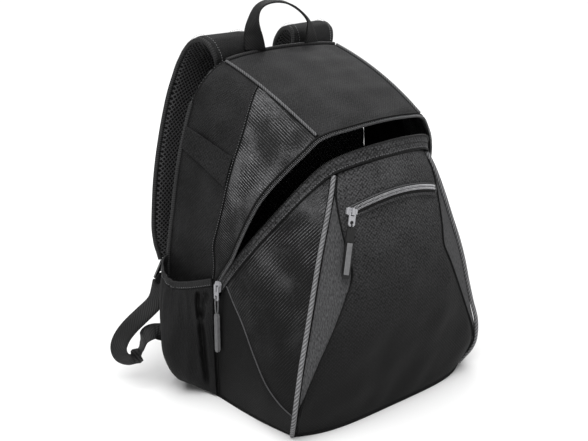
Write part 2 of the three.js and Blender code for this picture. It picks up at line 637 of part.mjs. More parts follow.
// Shoulder strap, from the yoke on the back to the buckle: the middle's side place as a share of
// the half width, how far it stands behind the back panel as a share of its reach, its height as
// a share of the body's, and its width as a share of the strap's.
const STRAP_ROUTE = [
  { side: 0.34, behind: 0, up: 0.92, wide: 0.92 },
  { side: 0.35, behind: 0, up: 0.965, wide: 0.95 },
  { side: 0.375, behind: 0.03, up: 1.005, wide: 0.98 },
  { side: 0.4, behind: 0.2, up: 1.032, wide: 1 },
  { side: 0.415, behind: 0.45, up: 1.032, wide: 1 },
  { side: 0.43, behind: 0.7, up: 1, wide: 1 },
  { side: 0.452, behind: 0.82, up: 0.955, wide: 1 },
  { side: 0.5, behind: 0.85, up: 0.895, wide: 1 },
  { side: 0.555, behind: 0.84, up: 0.83, wide: 1 },
  { side: 0.63, behind: 0.79, up: 0.712, wide: 1 },
  { side: 0.693, behind: 0.7, up: 0.592, wide: 1 },
  { side: 0.735, behind: 0.6, up: 0.46, wide: 0.97 },
  { side: 0.758, behind: 0.5, up: 0.395, wide: 0.84 },
  { side: 0.785, behind: 0.44, up: 0.355, wide: 0.6 },
];
// Webbing loop, from the buckle down to the bag's lower back corner: side place as a share of
// the half width, reach behind and height as above, and the direction across its face.
const WEBBING_ROUTE = [
  { side: 0.89, behind: 0.5, up: 0.297, across: [0, -0.75, -0.66] },
  { side: 0.985, behind: 0.3, up: 0.25, across: [-0.05, -0.74, -0.66] },
  { side: 1.105, behind: 0.26, up: 0.222, across: [-0.15, -0.7, -0.7] },
  { side: 1.215, behind: 0.28, up: 0.192, across: [-0.34, -0.64, -0.72] },
  { side: 1.29, behind: 0.3, up: 0.16, across: [-0.42, -0.7, -0.56] },
  { side: 1.33, behind: 0.26, up: 0.13, across: [-0.5, -0.8, -0.35] },
  { side: 1.315, behind: 0.2, up: 0.102, across: [-0.65, -0.72, 0] },
  { side: 1.26, behind: 0.13, up: 0.09, across: [-0.6, -0.5, 0.45] },
  { side: 1.205, behind: 0.08, up: 0.102, across: [-0.5, 0, 0.75] },
  { side: 1.175, behind: 0.05, up: 0.132, across: [-0.45, 0.5, 0.65] },
  { side: 1.15, behind: 0.04, up: 0.16, across: [-0.25, 0.75, 0.5] },
  { side: 1.09, behind: 0.03, up: 0.17, across: [0, 0.75, 0.6] },
  { side: 1.02, behind: -0.02, up: 0.162, across: [0.1, 0.4, 0.9] },
  { side: 0.93, behind: -0.052, up: 0.15, across: [0.1, 0, 1] },
];
function onRoute({ side, behind, up }, half) {
  const height = up * BODY_HEIGHT;
  const rest = backDepth(height) + SEAM_GAP + BACK_PADDING + SEAM_GAP + half;
  return vec(side * HALF_WIDTH, rest + behind * STRAP_REACH, height);
}

/** The rows of a strap along a route: its face turns from the back by the given angle. */
function strapRows(table, steps, thickness, width, faceOf) {
  const line = track(table.map((entry) => onRoute(entry, thickness / 2)));
  return Array.from({ length: steps + 1 }, (_, i) => {
    const at = (i / steps) * (table.length - 1);
    const along = line(at + 0.05).sub(line(at - 0.05)).normalize();
    const across = faceOf(along, at);
    const out = along.clone().cross(across);
    return { place: line(at), across, out, half: width(at) / 2, thick: thickness / 2 };
  });
}

function addStraps() {
  const wide = track(STRAP_ROUTE.map((entry) => vec(entry.wide * STRAP_WIDTH, 0, 0)));
  const level = (along) => vec(1, 0, 0).addScaledVector(along, -along.x).normalize();
  const padded = strapRows(STRAP_ROUTE, 26, STRAP_THICKNESS, (at) => wide(at).x, level);
  pair("shoulder_strap", "mesh", strap(padded, 0.45));
  const turns = track(WEBBING_ROUTE.map(({ across }) => vec(...across)));
  const leaning = (along, at) => turns(at).addScaledVector(along, -along.dot(turns(at))).normalize();
  const loop = strapRows(WEBBING_ROUTE, 39, WEBBING_THICKNESS, () => WEBBING_WIDTH, leaning);
  pair("strap_webbing", "webbing", band(loop));
  pair("strap_buckle", "buckle", buckle(padded.at(-1).place));
}

/** A ladder buckle with two slots, hanging upright under the strap's end. */
function buckle(foot) {
  const [half, tall] = [BUCKLE_WIDTH / 2, BUCKLE_HEIGHT / 2];
  const plate = outlined([[-half, -tall], [half, -tall], [half * 0.86, tall], [-half * 0.86, tall]]);
  const opening = BUCKLE_HEIGHT - 3 * BUCKLE_BAR;
  for (const low of [-tall + BUCKLE_BAR, -tall + 2 * BUCKLE_BAR + opening / 2]) {
    const w = half - BUCKLE_BAR;
    plate.holes.push(outlined([[-w, low], [w, low], [w, low + opening / 2], [-w, low + opening / 2]]));
  }
  const solid = new THREE.ExtrudeGeometry(plate, { depth: BUCKLE_THICKNESS, bevelEnabled: false });
  const drop = -tall - BUCKLE_DROP;
  return solid
    .translate(0, drop, -BUCKLE_THICKNESS / 2)
    .rotateX(PI / 2)
    .rotateY(BUCKLE_TURN)
    .rotateZ(-BUCKLE_TURN)
    .translate(foot.x, foot.y, foot.z);
}
const outlined = (corners) => new THREE.Shape(corners.map(([x, y]) => new THREE.Vector2(x, y)));

/** The front panel's rung and share under a point given by its width and height. */
function frontAt(wide, height) {
  let [low, high] = [0, TOP_RUNG];
  for (let i = 0; i < 24; i++) {
    const k = (low + high) / 2;
    if (front(wide / crease(k).x, k).z < height) low = k;
    else high = k;
  }
  return frontPatch(wide / crease(low).x, low);
}

const pocketZipHeight = frontEdge(CROWN).z - POCKET_ZIP_DROP;

/** The bowed zip of the front pocket lies on the front panel. */
function addPocketZip() {
  const half = POCKET_ZIP_LENGTH / 2;
  const zip = (a, b) => {
    const wide = mix(-half, half, a);
    const height = pocketZipHeight + POCKET_ZIP_BOW * (1 - (wide / half) ** 2);
    return frontAt(wide, height + (b - 0.5) * POCKET_ZIP_WIDTH);
  };
  const lift = POCKET_ZIP_THICKNESS + SEAM_GAP;
  piece("pocket_zip", "teeth", cloth(zip, 2, 16, {}, { wall: POCKET_ZIP_THICKNESS, lift }));
  return lift;
}

/** A slider's body with the bridge that holds its tab, lying on the plane z = 0. */
function sliderBody(turn = 0) {
  const [half, tall] = [SLIDER_WIDTH / 2, SLIDER_LENGTH / 2];
  const plate = outlined([
    [-half * 0.6, -tall], [half * 0.6, -tall], [half * 0.8, 0], [half, tall * 0.5],
    [half * 0.7, tall], [-half * 0.7, tall], [-half, tall * 0.5], [-half * 0.8, 0],
  ]);
  const body = new THREE.ExtrudeGeometry(plate, { depth: SLIDER_THICKNESS, bevelEnabled: false }).rotateZ(turn);
  const top = SLIDER_THICKNESS + TUNNEL_HEIGHT;
  const middle = SLIDER_THICKNESS + TUNNEL_HEIGHT / 2;
  const post = (y) => block(BRIDGE_WIDTH, BRIDGE_BAR, TUNNEL_HEIGHT + 0.4, 0, y, middle);
  const reach = BRIDGE_REACH - BRIDGE_BAR / 2;
  const roof = block(BRIDGE_WIDTH, 2 * BRIDGE_REACH, BRIDGE_BAR, 0, 0, top + BRIDGE_BAR / 2);
  return joined(body, post(reach), post(-reach), roof);
}

/** The flat metal tab: its eye's bar lies on the hinge axis, its round hole holds the pull. */
function sliderTab() {
  const bar = TAB_THICKNESS / 2;
  const half = TAB_WIDTH / 2;
  const tab = outlined([
    [-half, bar], [-half, -TAB_LENGTH + 2], [-half + 2, -TAB_LENGTH],
    [half - 2, -TAB_LENGTH], [half, -TAB_LENGTH + 2], [half, bar],
  ]);
  const eye = BRIDGE_WIDTH / 2 + PLAY + 0.5;
  const eyeFoot = -Math.hypot(BRIDGE_REACH, TUNNEL_HEIGHT / 2 + BRIDGE_BAR) - PLAY;
  tab.holes.push(outlined([[-eye, eyeFoot], [eye, eyeFoot], [eye, -bar], [-eye, -bar]]));
  const round = new THREE.Path();
  round.absarc(0, PULL_HOLE, TAB_HOLE_RADIUS, 0, 2 * PI);
  tab.holes.push(round);
  const flat = { depth: TAB_THICKNESS, curveSegments: 5, bevelEnabled: false };
  return new THREE.ExtrudeGeometry(tab, flat).translate(0, 0, -TAB_THICKNESS / 2);
}

/** A moulded grip on a short loop of cord through the tab's round hole. */
function gripOnLoop({ width, length, thickness, drop }) {
  const clear = TAB_THICKNESS / 2 + CORD_RADIUS + PLAY + 0.1;
  const top = PULL_HOLE - drop;
  const under = vec(0, PULL_HOLE - TAB_HOLE_RADIUS - 1, clear);
  const side = [vec(0, top - 3, clear * 0.35), vec(0, top + 1, clear * 0.7), under];
  const back = side.map((p) => vec(p.x, p.y, -p.z)).reverse();
  const loop = cord([...side, vec(0, PULL_HOLE + 0.2, 0), ...back], CORD_RADIUS, 14);
  const half = width / 2;
  const shape = outlined([
    [-half * 0.7, top], [half * 0.7, top], [half, top - 4], [half, top - length + 3],
    [half * 0.6, top - length], [-half * 0.6, top - length], [-half, top - length + 3], [-half, top - 4],
  ]);
  const grip = new THREE.ExtrudeGeometry(shape, { depth: thickness, bevelEnabled: false });
  return joined(grip.translate(0, 0, -thickness / 2), loop);
}

/** A group on the cloth: z along its normal, y upright but for a lean in radians. */
function restingOn({ point, normal }, lift, lean = 0) {
  const up = vec(0, 0, 1).addScaledVector(normal, -normal.z).normalize().applyAxisAngle(normal, lean);
  const group = new THREE.Group();
  group.matrix.makeBasis(up.clone().cross(normal), up, normal);
  group.matrix.setPosition(point.clone().addScaledVector(normal, lift));
  group.matrix.decompose(group.position, group.quaternion, group.scale);
  bag.add(group);
  return group;
}

function addSliders() {
  const zipLift = addPocketZip();
  const onZip = frontAt(-POCKET_ZIP_LENGTH / 2 + 1, pocketZipHeight + 1);
  const pocketSlider = restingOn(onZip, zipLift + PLAY, POCKET_TAB_LEAN);
  piece("pocket_zip_slider", "gunmetal", sliderBody(PI / 2), pocketSlider);
  const pocketHinge = hingeOn(pocketSlider, "pocket_tab_pivot");
  piece("pocket_zip_tab", "gunmetal", sliderTab(), pocketHinge);
  piece("pocket_zip_pull", "rubber", gripOnLoop(POCKET_GRIP), pocketHinge);
  const leftSlider = restingOn(mainSliderSeat(-1), MAIN_SLIDER_LIFT);
  piece("zip_slider_left", "gunmetal", sliderBody(), leftSlider);
  const hinge = hingeOn(leftSlider, "zip_tab_pivot");
  piece("zip_tab_left", "gunmetal", sliderTab(), hinge);
  piece("zip_pull_left", "rubber", gripOnLoop(MAIN_GRIP), hinge);
  const { width, thickness, height } = PLAIN_PULL;
  const hanging = block(width, TAB_LENGTH, thickness, 0, -TAB_LENGTH / 2 - thickness, height);
  const rightSlider = restingOn(mainSliderSeat(1), MAIN_SLIDER_LIFT);
  piece("zip_slider_right", "gunmetal", joined(sliderBody(), hanging), rightSlider);
}

/** Where the main zip's slider sits on one side, -1 left or 1 right. */
function mainSliderSeat(side) {
  const { point } = onSurface(rear, SLIDER_ROW + 0.08, 1);
  const seat = vec(side * point.x, point.y - SLIDER_WIDTH * 0.55, point.z);
  return { point: seat, normal: vec(side, 0, 0) };
}

/** The group of a tab and its pull, whose origin is the middle of the tab's bar. */
function hingeOn(slider, name) {
  const hinge = new THREE.Group();
  hinge.name = name;
  hinge.position.z = SLIDER_THICKNESS + TUNNEL_HEIGHT / 2;
  slider.add(hinge);
  return hinge;
}

addRearShell();
addSideBands();
addFrontShell();
addFrontTape();
addBaseAndBack();
addPockets();
addHandle();
addStraps();
addSliders();

// The origin is the middle of the bag's outline on the ground.
const outline = new THREE.Box3().setFromObject(bag, true);
const middle = outline.getCenter(vec(0, 0, 0));
for (const part of bag.children) part.position.sub(vec(middle.x, middle.y, 0));

export default bag;
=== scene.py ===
"""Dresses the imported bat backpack: sewn cloth, open zips, padded straps, hardware and a plain studio."""

import logging
import math
from dataclasses import dataclass, field
from enum import Enum
from typing import Callable, ClassVar, Iterable, Sequence

import bmesh
import bpy
import numpy as np
from mathutils import Matrix, Vector, noise
from mathutils.bvhtree import BVHTree
from mathutils.kdtree import KDTree


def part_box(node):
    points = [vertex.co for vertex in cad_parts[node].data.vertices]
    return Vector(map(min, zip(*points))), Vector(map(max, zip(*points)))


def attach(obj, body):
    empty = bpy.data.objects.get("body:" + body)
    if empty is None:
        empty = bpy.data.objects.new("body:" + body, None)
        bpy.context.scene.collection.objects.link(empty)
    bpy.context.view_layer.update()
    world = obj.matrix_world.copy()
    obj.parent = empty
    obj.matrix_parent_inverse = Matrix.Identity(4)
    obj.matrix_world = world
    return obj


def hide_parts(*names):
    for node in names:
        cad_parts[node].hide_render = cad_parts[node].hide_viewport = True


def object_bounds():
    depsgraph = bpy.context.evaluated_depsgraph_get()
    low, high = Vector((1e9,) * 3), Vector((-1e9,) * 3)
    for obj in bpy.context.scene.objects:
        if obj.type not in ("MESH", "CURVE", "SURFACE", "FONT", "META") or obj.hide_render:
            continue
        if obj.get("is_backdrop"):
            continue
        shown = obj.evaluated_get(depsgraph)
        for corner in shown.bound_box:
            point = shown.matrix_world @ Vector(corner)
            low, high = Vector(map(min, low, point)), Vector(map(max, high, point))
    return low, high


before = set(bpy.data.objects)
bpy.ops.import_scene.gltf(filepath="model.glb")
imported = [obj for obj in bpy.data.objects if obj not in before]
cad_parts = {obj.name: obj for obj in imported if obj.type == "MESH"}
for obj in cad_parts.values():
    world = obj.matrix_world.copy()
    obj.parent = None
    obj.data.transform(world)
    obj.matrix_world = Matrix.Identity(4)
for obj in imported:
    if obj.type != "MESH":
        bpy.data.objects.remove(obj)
CAD_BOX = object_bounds()
LOG = logging.getLogger("backpack")
MM = 0.001

LOW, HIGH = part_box("base_panel")[0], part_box("hood_panel")[1]
HEART = Vector((0.0, (LOW.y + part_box("base_panel")[1].y) / 2, HIGH.z * 0.45))


class Body(Enum):
    """The frame's bodies that new pieces ride on."""

    BAG = "bag"
    POCKET_PULL = "pocket_pull"


class Side(Enum):
    """The wearer's two sides, by the sign of X."""

    LEFT = -1
    RIGHT = 1

    @property
    def word(self) -> str:
        """The ending of a node's name on this side."""
        return self.name.lower()


class Lay(Enum):
    """The two directions that a cloth's pattern is cut along."""

    SIDE = (Vector((0, 1, 0)), Vector((0, 0, 1)))
    FRONT = (Vector((1, 0, 0)), Vector((0, 0, 1)))
    TOP = (Vector((1, 0, 0)), Vector((0, -0.8, 0.6)))
    FLAT = (Vector((1, 0, 0)), Vector((0, 1, 0)))
    LENGTHWISE = None


def tone(level: float) -> tuple[float, float, float, float]:
    """A neutral grey from its display level, 0 to 255, as linear colour."""
    share = level / 255
    linear = share / 12.92 if share <= 0.04045 else ((share + 0.055) / 1.055) ** 2.4
    return (linear, linear, linear * 1.03, 1.0)


class Wire:
    """A socket of a material's tree that takes part in Python sums."""

    def __init__(self, tree: bpy.types.NodeTree, socket: bpy.types.NodeSocket) -> None:
        """Wraps a socket of a tree."""
        self.tree = tree
        self.socket = socket

    def maths(self, operation: str, *values: "Wire | float") -> "Wire":
        """Adds a Math node.

        Args:
            operation: the node's operation.
            values: its inputs in order.

        Returns:
            The node's result.
        """
        node = self.tree.nodes.new("ShaderNodeMath")
        node.operation = operation
        for place, value in enumerate(values):
            if isinstance(value, Wire):
                self.tree.links.new(value.socket, node.inputs[place])
            else:
                node.inputs[place].default_value = value
        return Wire(self.tree, node.outputs[0])

    def __add__(self, other: "Wire | float") -> "Wire":
        """This socket plus another."""
        return self.maths("ADD", self, other)

    def __sub__(self, other: "Wire | float") -> "Wire":
        """This socket less another."""
        return self.maths("SUBTRACT", self, other)

    def __rsub__(self, other: float) -> "Wire":
        """A number less this socket."""
        return self.maths("SUBTRACT", other, self)

    def __mul__(self, other: "Wire | float") -> "Wire":
        """This socket times another."""
        return self.maths("MULTIPLY", self, other)

    def __truediv__(self, other: "Wire | float") -> "Wire":
        """This socket divided by another."""
        return self.maths("DIVIDE", self, other)

    __radd__ = __add__
    __rmul__ = __mul__

    def wave(self, pitch: float) -> "Wire":
        """A rounded wave along this coordinate, 0 to 1, once a pitch."""
        return self.maths("SINE", self * (2 * math.pi / pitch)) * 0.5 + 0.5

    def line(self, pitch: float, width: float) -> "Wire":
        """Soft lines along this coordinate, 1 on each line's middle, width as a share of the pitch."""
        away = self.maths("ABSOLUTE", self.maths("FRACT", self / pitch) - 0.5)
        return self.maths("SMOOTH_MAX", 1 - away / (width * 0.5), 0.0, 0.3)

    def stretched(self, gain: float) -> "Wire":
        """This noise with its contrast raised about the middle."""
        return (self - 0.5) * gain + 0.5


class Paint:
    """The node tree of one material, from its coordinates to its shader."""

    def __init__(self, name: str) -> None:
        """Starts a material with its own tree."""
        self.material = bpy.data.materials.new(name)
        self.material.use_nodes = True
        self.tree = self.material.node_tree
        self.shader = self.tree.nodes["Principled BSDF"]

    def node(
        self, kind: str, settings: dict | None = None, inputs: dict | None = None, output: int = 0
    ) -> Wire:
        """Adds a node of any type.

        Args:
            kind: the node's type.
            settings: its properties, set first.
            inputs: values or links by socket.
            output: which output is given back.

        Returns:
            The chosen output.
        """
        node = self.tree.nodes.new(kind)
        for key, value in (settings or {}).items():
            setattr(node, key, value)
        for key, value in (inputs or {}).items():
            if isinstance(value, Wire):
                self.tree.links.new(value.socket, node.inputs[key])
            else:
                node.inputs[key].default_value = value
        return Wire(self.tree, node.outputs[output])

    def cloth_plane(self, angle: float = 0.0) -> tuple[Wire, Wire, Wire]:
        """The cut cloth's own plane in metres, turned by an angle in degrees.

        Returns:
            The coordinate across the pattern, the one along it, and both as a vector.
        """
        flat = self.node("ShaderNodeUVMap", {"uv_map": "cut"})
        turned = self.node(
            "ShaderNodeMapping", inputs={"Vector": flat, "Rotation": (0.0, 0.0, math.radians(angle))}
        )
        across = self.node("ShaderNodeSeparateXYZ", inputs={0: turned})
        along = Wire(self.tree, across.socket.node.outputs[1])
        return across, along, turned

    def place(self) -> Wire:
        """The point's place on the object, in metres."""
        return self.node("ShaderNodeTexCoord", output=3)

    def cloud(
        self, vector: Wire, size: float, detail: float = 2.0, stretch: Sequence[float] = (1, 1, 1)
    ) -> Wire:
        """Noise with patches of about one size in metres, 0 to 1, drawn out by a stretch."""
        squeeze = [1 / share for share in stretch]
        scaled = self.node("ShaderNodeMapping", inputs={"Vector": vector, "Scale": squeeze})
        sizes = {"Vector": scaled, "Scale": 1 / size, "Detail": detail}
        return self.node("ShaderNodeTexNoise", inputs=sizes)

    def mixed(
        self, factor: Wire | float, low: Wire | Sequence[float], high: Wire | Sequence[float]
    ) -> Wire:
        """A colour between two, by a factor."""
        return self.node("ShaderNodeMix", {"data_type": "RGBA"}, {0: factor, 6: low, 7: high}, output=2)

    def relief(self, height: Wire, depth: float, strength: float = 1.0) -> None:
        """Raises the surface by a height of the given depth in metres."""
        inputs = {"Height": height, "Distance": depth, "Strength": strength}
        bump = self.node("ShaderNodeBump", inputs=inputs)
        self.tree.links.new(bump.socket, self.shader.inputs["Normal"])

    def finish(
        self, colour: Wire | Sequence[float], roughness: Wire | float, **values: float
    ) -> bpy.types.Material:
        """Sets the shader's colour, roughness and constant sockets, and gives the material."""
        for name, value in {"Base Color": colour, "Roughness": roughness, **values}.items():
            socket = self.shader.inputs[name.replace("_", " ")]
            if isinstance(value, Wire):
                self.tree.links.new(value.socket, socket)
            else:
                socket.default_value = value
        return self.material


@dataclass(frozen=True)
class Cloth:
    """A woven cloth: a dark ground with a visible weave, soft mottling and thin light ribs, with painted
    shade towards the floor and in its folds.
    """

    name: str
    slot: str
    ground: float
    lit: float
    weave: float = 0.0023
    rib_pitch: float = 0.0
    rib_angle: float = 0.0
    rib_width: float = 0.24
    rib_gain: float = 0.0
    rib_floor: float = 0.25
    speckle: float = 0.5
    # Painted shade low down: foot is how much darker the colour gets at the floor, rise the share of the
    # bag's height where that darkening ends.
    foot: float = 0.3
    rise: float = 0.5
    roughness: float = 0.78
    gloss: float = 0.2

    def material(self) -> bpy.types.Material:
        """Builds the cloth's material."""
        paint = Paint(self.name)
        across, along, plane = paint.cloth_plane(self.rib_angle)
        warp, weft, _ = paint.cloth_plane(45)
        threads = warp.wave(self.weave) * weft.wave(self.weave)
        fine = paint.cloud(plane, self.weave * 0.9, 3.0).stretched(2.6)
        patches = paint.cloud(paint.place(), 0.035, 3.0).stretched(1.8)
        light = threads * self.speckle * 0.7 + fine * self.speckle + patches * 0.3 - 0.2
        height = threads * 0.5 + fine * 0.5
        if self.rib_pitch:
            fade = paint.cloud(paint.place(), 0.045, 2.0).stretched(3.2)
            shown = fade.maths("MAXIMUM", fade, self.rib_floor)
            rib = along.line(self.rib_pitch, self.rib_width)
            light = light * (1 - rib) + rib * shown * self.rib_gain * (0.4 + fine * 1.2)
            height = height + rib * 1.3
        # Painted shade: level makes the colour darker towards the floor.
        level = self.painted_low_shade(paint)
        paint.relief(height, 0.0004, 0.9)
        colour = paint.mixed(light * level, tone(self.ground), tone(self.lit))
        # Painted shade: the colour darkens towards a third of the ground's grey low down and in the folds,
        # where the crease attribute is set.
        crease = paint.node("ShaderNodeAttribute", {"attribute_name": "crease"}, output=2)
        shaded = paint.mixed(level * (1 - crease), tone(self.ground * 0.3), colour)
        return paint.finish(shaded, self.roughness - threads * 0.08, Specular_IOR_Level=self.gloss)

    def painted_low_shade(self, paint: Paint) -> Wire:
        """Painted shade: how light the cloth is, from darker at its foot to full at a share of the bag's
        height.
        """
        place = paint.node("ShaderNodeSeparateXYZ", inputs={0: paint.place()}, output=2)
        ramp = {"interpolation_type": "SMOOTHSTEP"}
        ends = {0: place, 1: 0.0, 2: HIGH.z * self.rise, 3: 1 - self.foot, 4: 1.0}
        return paint.node("ShaderNodeMapRange", ramp, ends)


@dataclass(frozen=True)
class Heather:
    """A melange knit: fine upright threads of several greys."""

    name: str
    slot: str
    ground: float
    lit: float

    def material(self) -> bpy.types.Material:
        """Builds the knit's material."""
        paint = Paint(self.name)
        across, along, plane = paint.cloth_plane()
        fleck = paint.cloud(plane, 0.0011, 2.0, (1, 4, 1))
        column = across.wave(0.0016)
        light = fleck * 1.5 - 0.4 + column * 0.25
        paint.relief(column * 0.7 + fleck * 0.5, 0.0003, 0.8)
        colour = paint.mixed(light, tone(self.ground), tone(self.lit))
        return paint.finish(colour, 0.85, Specular_IOR_Level=0.2)


@dataclass(frozen=True)
class Twill:
    """Webbing or binding woven in a diagonal twill, drawn along the strip's own length."""

    name: str
    slot: str
    ground: float
    lit: float
    pitch: float = 0.0022
    slant: float = 58.0
    roughness: float = 0.62

    def material(self) -> bpy.types.Material:
        """Builds the twill's material."""
        paint = Paint(self.name)
        across, along, plane = paint.cloth_plane(self.slant)
        cord = across.line(self.pitch, 0.75)
        grain = paint.cloud(plane, 0.0012, 2.0)
        wear = paint.cloud(paint.place(), 0.03, 3.0)
        light = cord * 0.6 + grain * 0.5 + wear * 0.3 - 0.35
        paint.relief(cord + grain * 0.3, 0.0004, 0.9)
        colour = paint.mixed(light, tone(self.ground), tone(self.lit))
        return paint.finish(colour, self.roughness, Specular_IOR_Level=0.3)


@dataclass(frozen=True)
class AirMesh:
    """A spacer mesh with rows of small open cells over a dark ground."""

    name: str
    slot: str
    ground: float
    lit: float
    cell: float = 0.0042

    def material(self) -> bpy.types.Material:
        """Builds the mesh's material."""
        paint = Paint(self.name)
        across, along, plane = paint.cloth_plane(45.0)
        net = across.wave(self.cell).maths("MAXIMUM", across.wave(self.cell), along.wave(self.cell))
        yarn = paint.cloud(plane, 0.0012, 1.0)
        raised = net.maths("POWER", net, 3.0)
        light = raised * 0.9 + yarn * 0.3 - 0.2
        paint.relief(raised + yarn * 0.2, 0.0011, 1.0)
        colour = paint.mixed(light, tone(self.ground), tone(self.lit))
        return paint.finish(colour, 0.85, Specular_IOR_Level=0.15)


@dataclass(frozen=True)
class Hard:
    """A moulded or cast finish with fine wear."""

    name: str
    slot: str
    ground: float
    lit: float
    metal: float = 0.0
    roughness: float = 0.4
    grain: float = 0.004

    def material(self) -> bpy.types.Material:
        """Builds the finish's material."""
        paint = Paint(self.name)
        place = paint.place()
        cloudy = paint.cloud(place, self.grain, 3.0)
        pits = paint.cloud(place, 0.0008, 2.0)
        paint.relief(pits, 0.00006, 0.6)
        rough = self.roughness + cloudy * 0.18 - 0.09
        colour = paint.mixed(cloudy, tone(self.ground), tone(self.lit))
        return paint.finish(colour, rough, Metallic=self.metal)


class Finish(Enum):
    """Every finish of the bag."""

    # Each cloth's foot and rise set its painted shade towards the floor.
    PLAIN = Cloth("plain_weave", "plain", 20, 62, speckle=0.45)
    FRONT = Cloth("front_weave", "plain", 13, 92, weave=0.0032, speckle=0.66, foot=0.86, rise=0.9)
    BAND = Cloth("mouth_band_weave", "plain", 10, 84, weave=0.0036, speckle=0.6)
    LOWER = Cloth("base_weave", "plain", 6, 18)
    SEAM = Cloth("seam_tape", "plain", 4, 12)
    EDGE = Cloth("seam_edge", "plain", 60, 110, speckle=0.3)
    RIB = Cloth(
        "ribbed_cloth", "ribbed", 18, 190, speckle=0.1, rib_pitch=0.0029, rib_angle=-28, rib_gain=0.85,
        foot=0.9, rise=0.86,
    )
    SIDE = Cloth(
        "side_cloth", "ribbed", 10, 66, speckle=0.25, rib_pitch=0.003, rib_angle=50, rib_gain=0.5, foot=0.75
    )
    GUSSET = Cloth(
        "gusset_cloth", "ribbed", 13, 190, speckle=0.08, rib_pitch=0.0032, rib_angle=56, rib_gain=0.8,
        foot=0.92, rise=0.8,
    )
    STRIPE = Cloth("side_band_weave", "webbing", 4, 44, weave=0.0032, speckle=0.5)
    HEATHER = Heather("heather_knit", "heather", 20, 92)
    POCKET = Cloth(
        "pocket_stretch", "pocket", 17, 60, speckle=0.3, rib_pitch=0.003, rib_angle=90, rib_gain=0.75,
        foot=0.4,
    )
    HEM = Twill("pocket_binding", "pocket", 12, 42, pitch=0.0022, slant=90)
    PIPING = Twill("piping_cord", "piping", 66, 160, pitch=0.0034, slant=40, roughness=0.6)
    CORDED = Twill("shoulder_cord", "piping", 50, 130, pitch=0.0026, slant=40, roughness=0.6)
    WEBBING = Twill("webbing_twill", "webbing", 3, 38, pitch=0.0026, slant=35)
    BINDING = Twill("edge_binding", "webbing", 12, 56, pitch=0.0026, slant=90)
    TAPE = Twill("zip_tape", "teeth", 8, 34, pitch=0.0016, slant=0)
    AIR_MESH = AirMesh("air_mesh", "mesh", 3, 78)
    COVER = Cloth("strap_cover", "mesh", 18, 50, speckle=0.35)
    STITCH = Hard("stitch_thread", "piping", 96, 150, roughness=0.7)
    DARK_STITCH = Hard("dark_thread", "plain", 4, 12, roughness=0.7)
    COIL = Hard("zip_coil", "teeth", 60, 105, roughness=0.35)
    BRIGHT_COIL = Hard("bright_coil", "teeth", 130, 200, roughness=0.3)
    DARK_COIL = Hard("dark_coil", "teeth", 8, 26, roughness=0.35)
    METAL = Hard("gunmetal", "gunmetal", 12, 48, metal=1.0, roughness=0.3)
    RUBBER = Hard("grip_rubber", "rubber", 78, 116, roughness=0.55)
    STRAP_PULL = Hard("pull_strip", "rubber", 6, 16, roughness=0.5)
    BUCKLE = Hard("buckle_plastic", "buckle", 6, 14, roughness=0.28)

    def material(self) -> bpy.types.Material:
        """This finish's material, made when first asked for."""
        return bpy.data.materials.get(self.value.name) or self.value.material()


def only(piece: bpy.types.Object) -> None:
    """Selects one object alone and makes it active."""
    bpy.ops.object.select_all(action="DESELECT")
    piece.select_set(True)
    bpy.context.view_layer.objects.active = piece


def dress(piece: bpy.types.Object, finish: Finish, body: Body = Body.BAG) -> bpy.types.Object:
    """Gives a piece its finish and the body that it rides on."""
    piece.data.materials.clear()
    piece.data.materials.append(finish.material())
    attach(piece, body.value)
    LOG.info("%s: %d faces", piece.name, len(piece.data.polygons))
    return piece


def coordinates(mesh: bpy.types.Mesh) -> np.ndarray:
    """A mesh's points as an array with a row for each."""
    flat = np.zeros(len(mesh.vertices) * 3)
    mesh.vertices.foreach_get("co", flat)
    return flat.reshape(-1, 3)


def normals(mesh: bpy.types.Mesh) -> np.ndarray:
    """A mesh's point normals as an array with a row for each."""
    return np.array([tuple(vertex.normal) for vertex in mesh.vertices])


def put(mesh: bpy.types.Mesh, points: np.ndarray) -> None:
    """Writes moved points back to a mesh."""
    mesh.vertices.foreach_set("co", points.ravel())
    mesh.update()


def smooth_step(share: np.ndarray) -> np.ndarray:
    """An even rise from 0 to 1."""
    held = np.clip(share, 0, 1)
    return held * held * (3 - 2 * held)


@dataclass(frozen=True)
class Fold:
    """A valley or ridge pressed into a cloth along a short line, in millimetres of the frame."""

    line: tuple[tuple[float, float, float], ...]
    width: float
    depth: float

    def mirrored(self) -> "Fold":
        """The same fold on the other side of the bag."""
        return Fold(tuple((-x, y, z) for x, y, z in self.line), self.width, self.depth)

    def at(self, points: np.ndarray) -> np.ndarray:
        """The outward shift of each point, in metres."""
        line = np.array(self.line) * MM
        steps = np.linalg.norm(np.diff(line, axis=0), axis=1)
        starts = np.concatenate([[0], np.cumsum(steps)])
        best = np.full(len(points), np.inf)
        share = np.zeros(len(points))
        for start, end, before, step in zip(line[:-1], line[1:], starts, steps):
            along = np.clip((points - start) @ (end - start) / step**2, 0, 1)
            away = np.linalg.norm(points - start - along[:, None] * (end - start), axis=1)
            share = np.where(away < best, (before + along * step) / starts[-1], share)
            best = np.minimum(best, away)
        taper = smooth_step(share / 0.2 + 0.15) * smooth_step((1 - share) / 0.2 + 0.15)
        return self.depth * MM * np.exp(-((best / (self.width * MM)) ** 2)) * taper


@dataclass(frozen=True)
class Wrinkles:
    """Soft wrinkles that run one way: their direction, spacing, length and height in millimetres."""

    run: tuple[float, float, float]
    spacing: float
    length: float
    height: float
    seed: float = 0.0
    above: float | None = None

    ABOVE_REACH: ClassVar[float] = 55.0

    def at(self, points: np.ndarray) -> np.ndarray:
        """The outward shift of each point, in metres."""
        run = np.array(Vector(self.run).normalized())
        along = points @ run
        drawn = np.outer(along, run) * (1 / self.spacing - 1 / self.length) / MM
        squeezed = points / (self.spacing * MM) - drawn
        shifted = squeezed + self.seed
        drape = np.array([noise.noise(Vector(point)) for point in shifted]) * self.height * MM
        if self.above is None:
            return drape
        return drape * smooth_step((points[:, 2] / MM - self.above) / self.ABOVE_REACH)


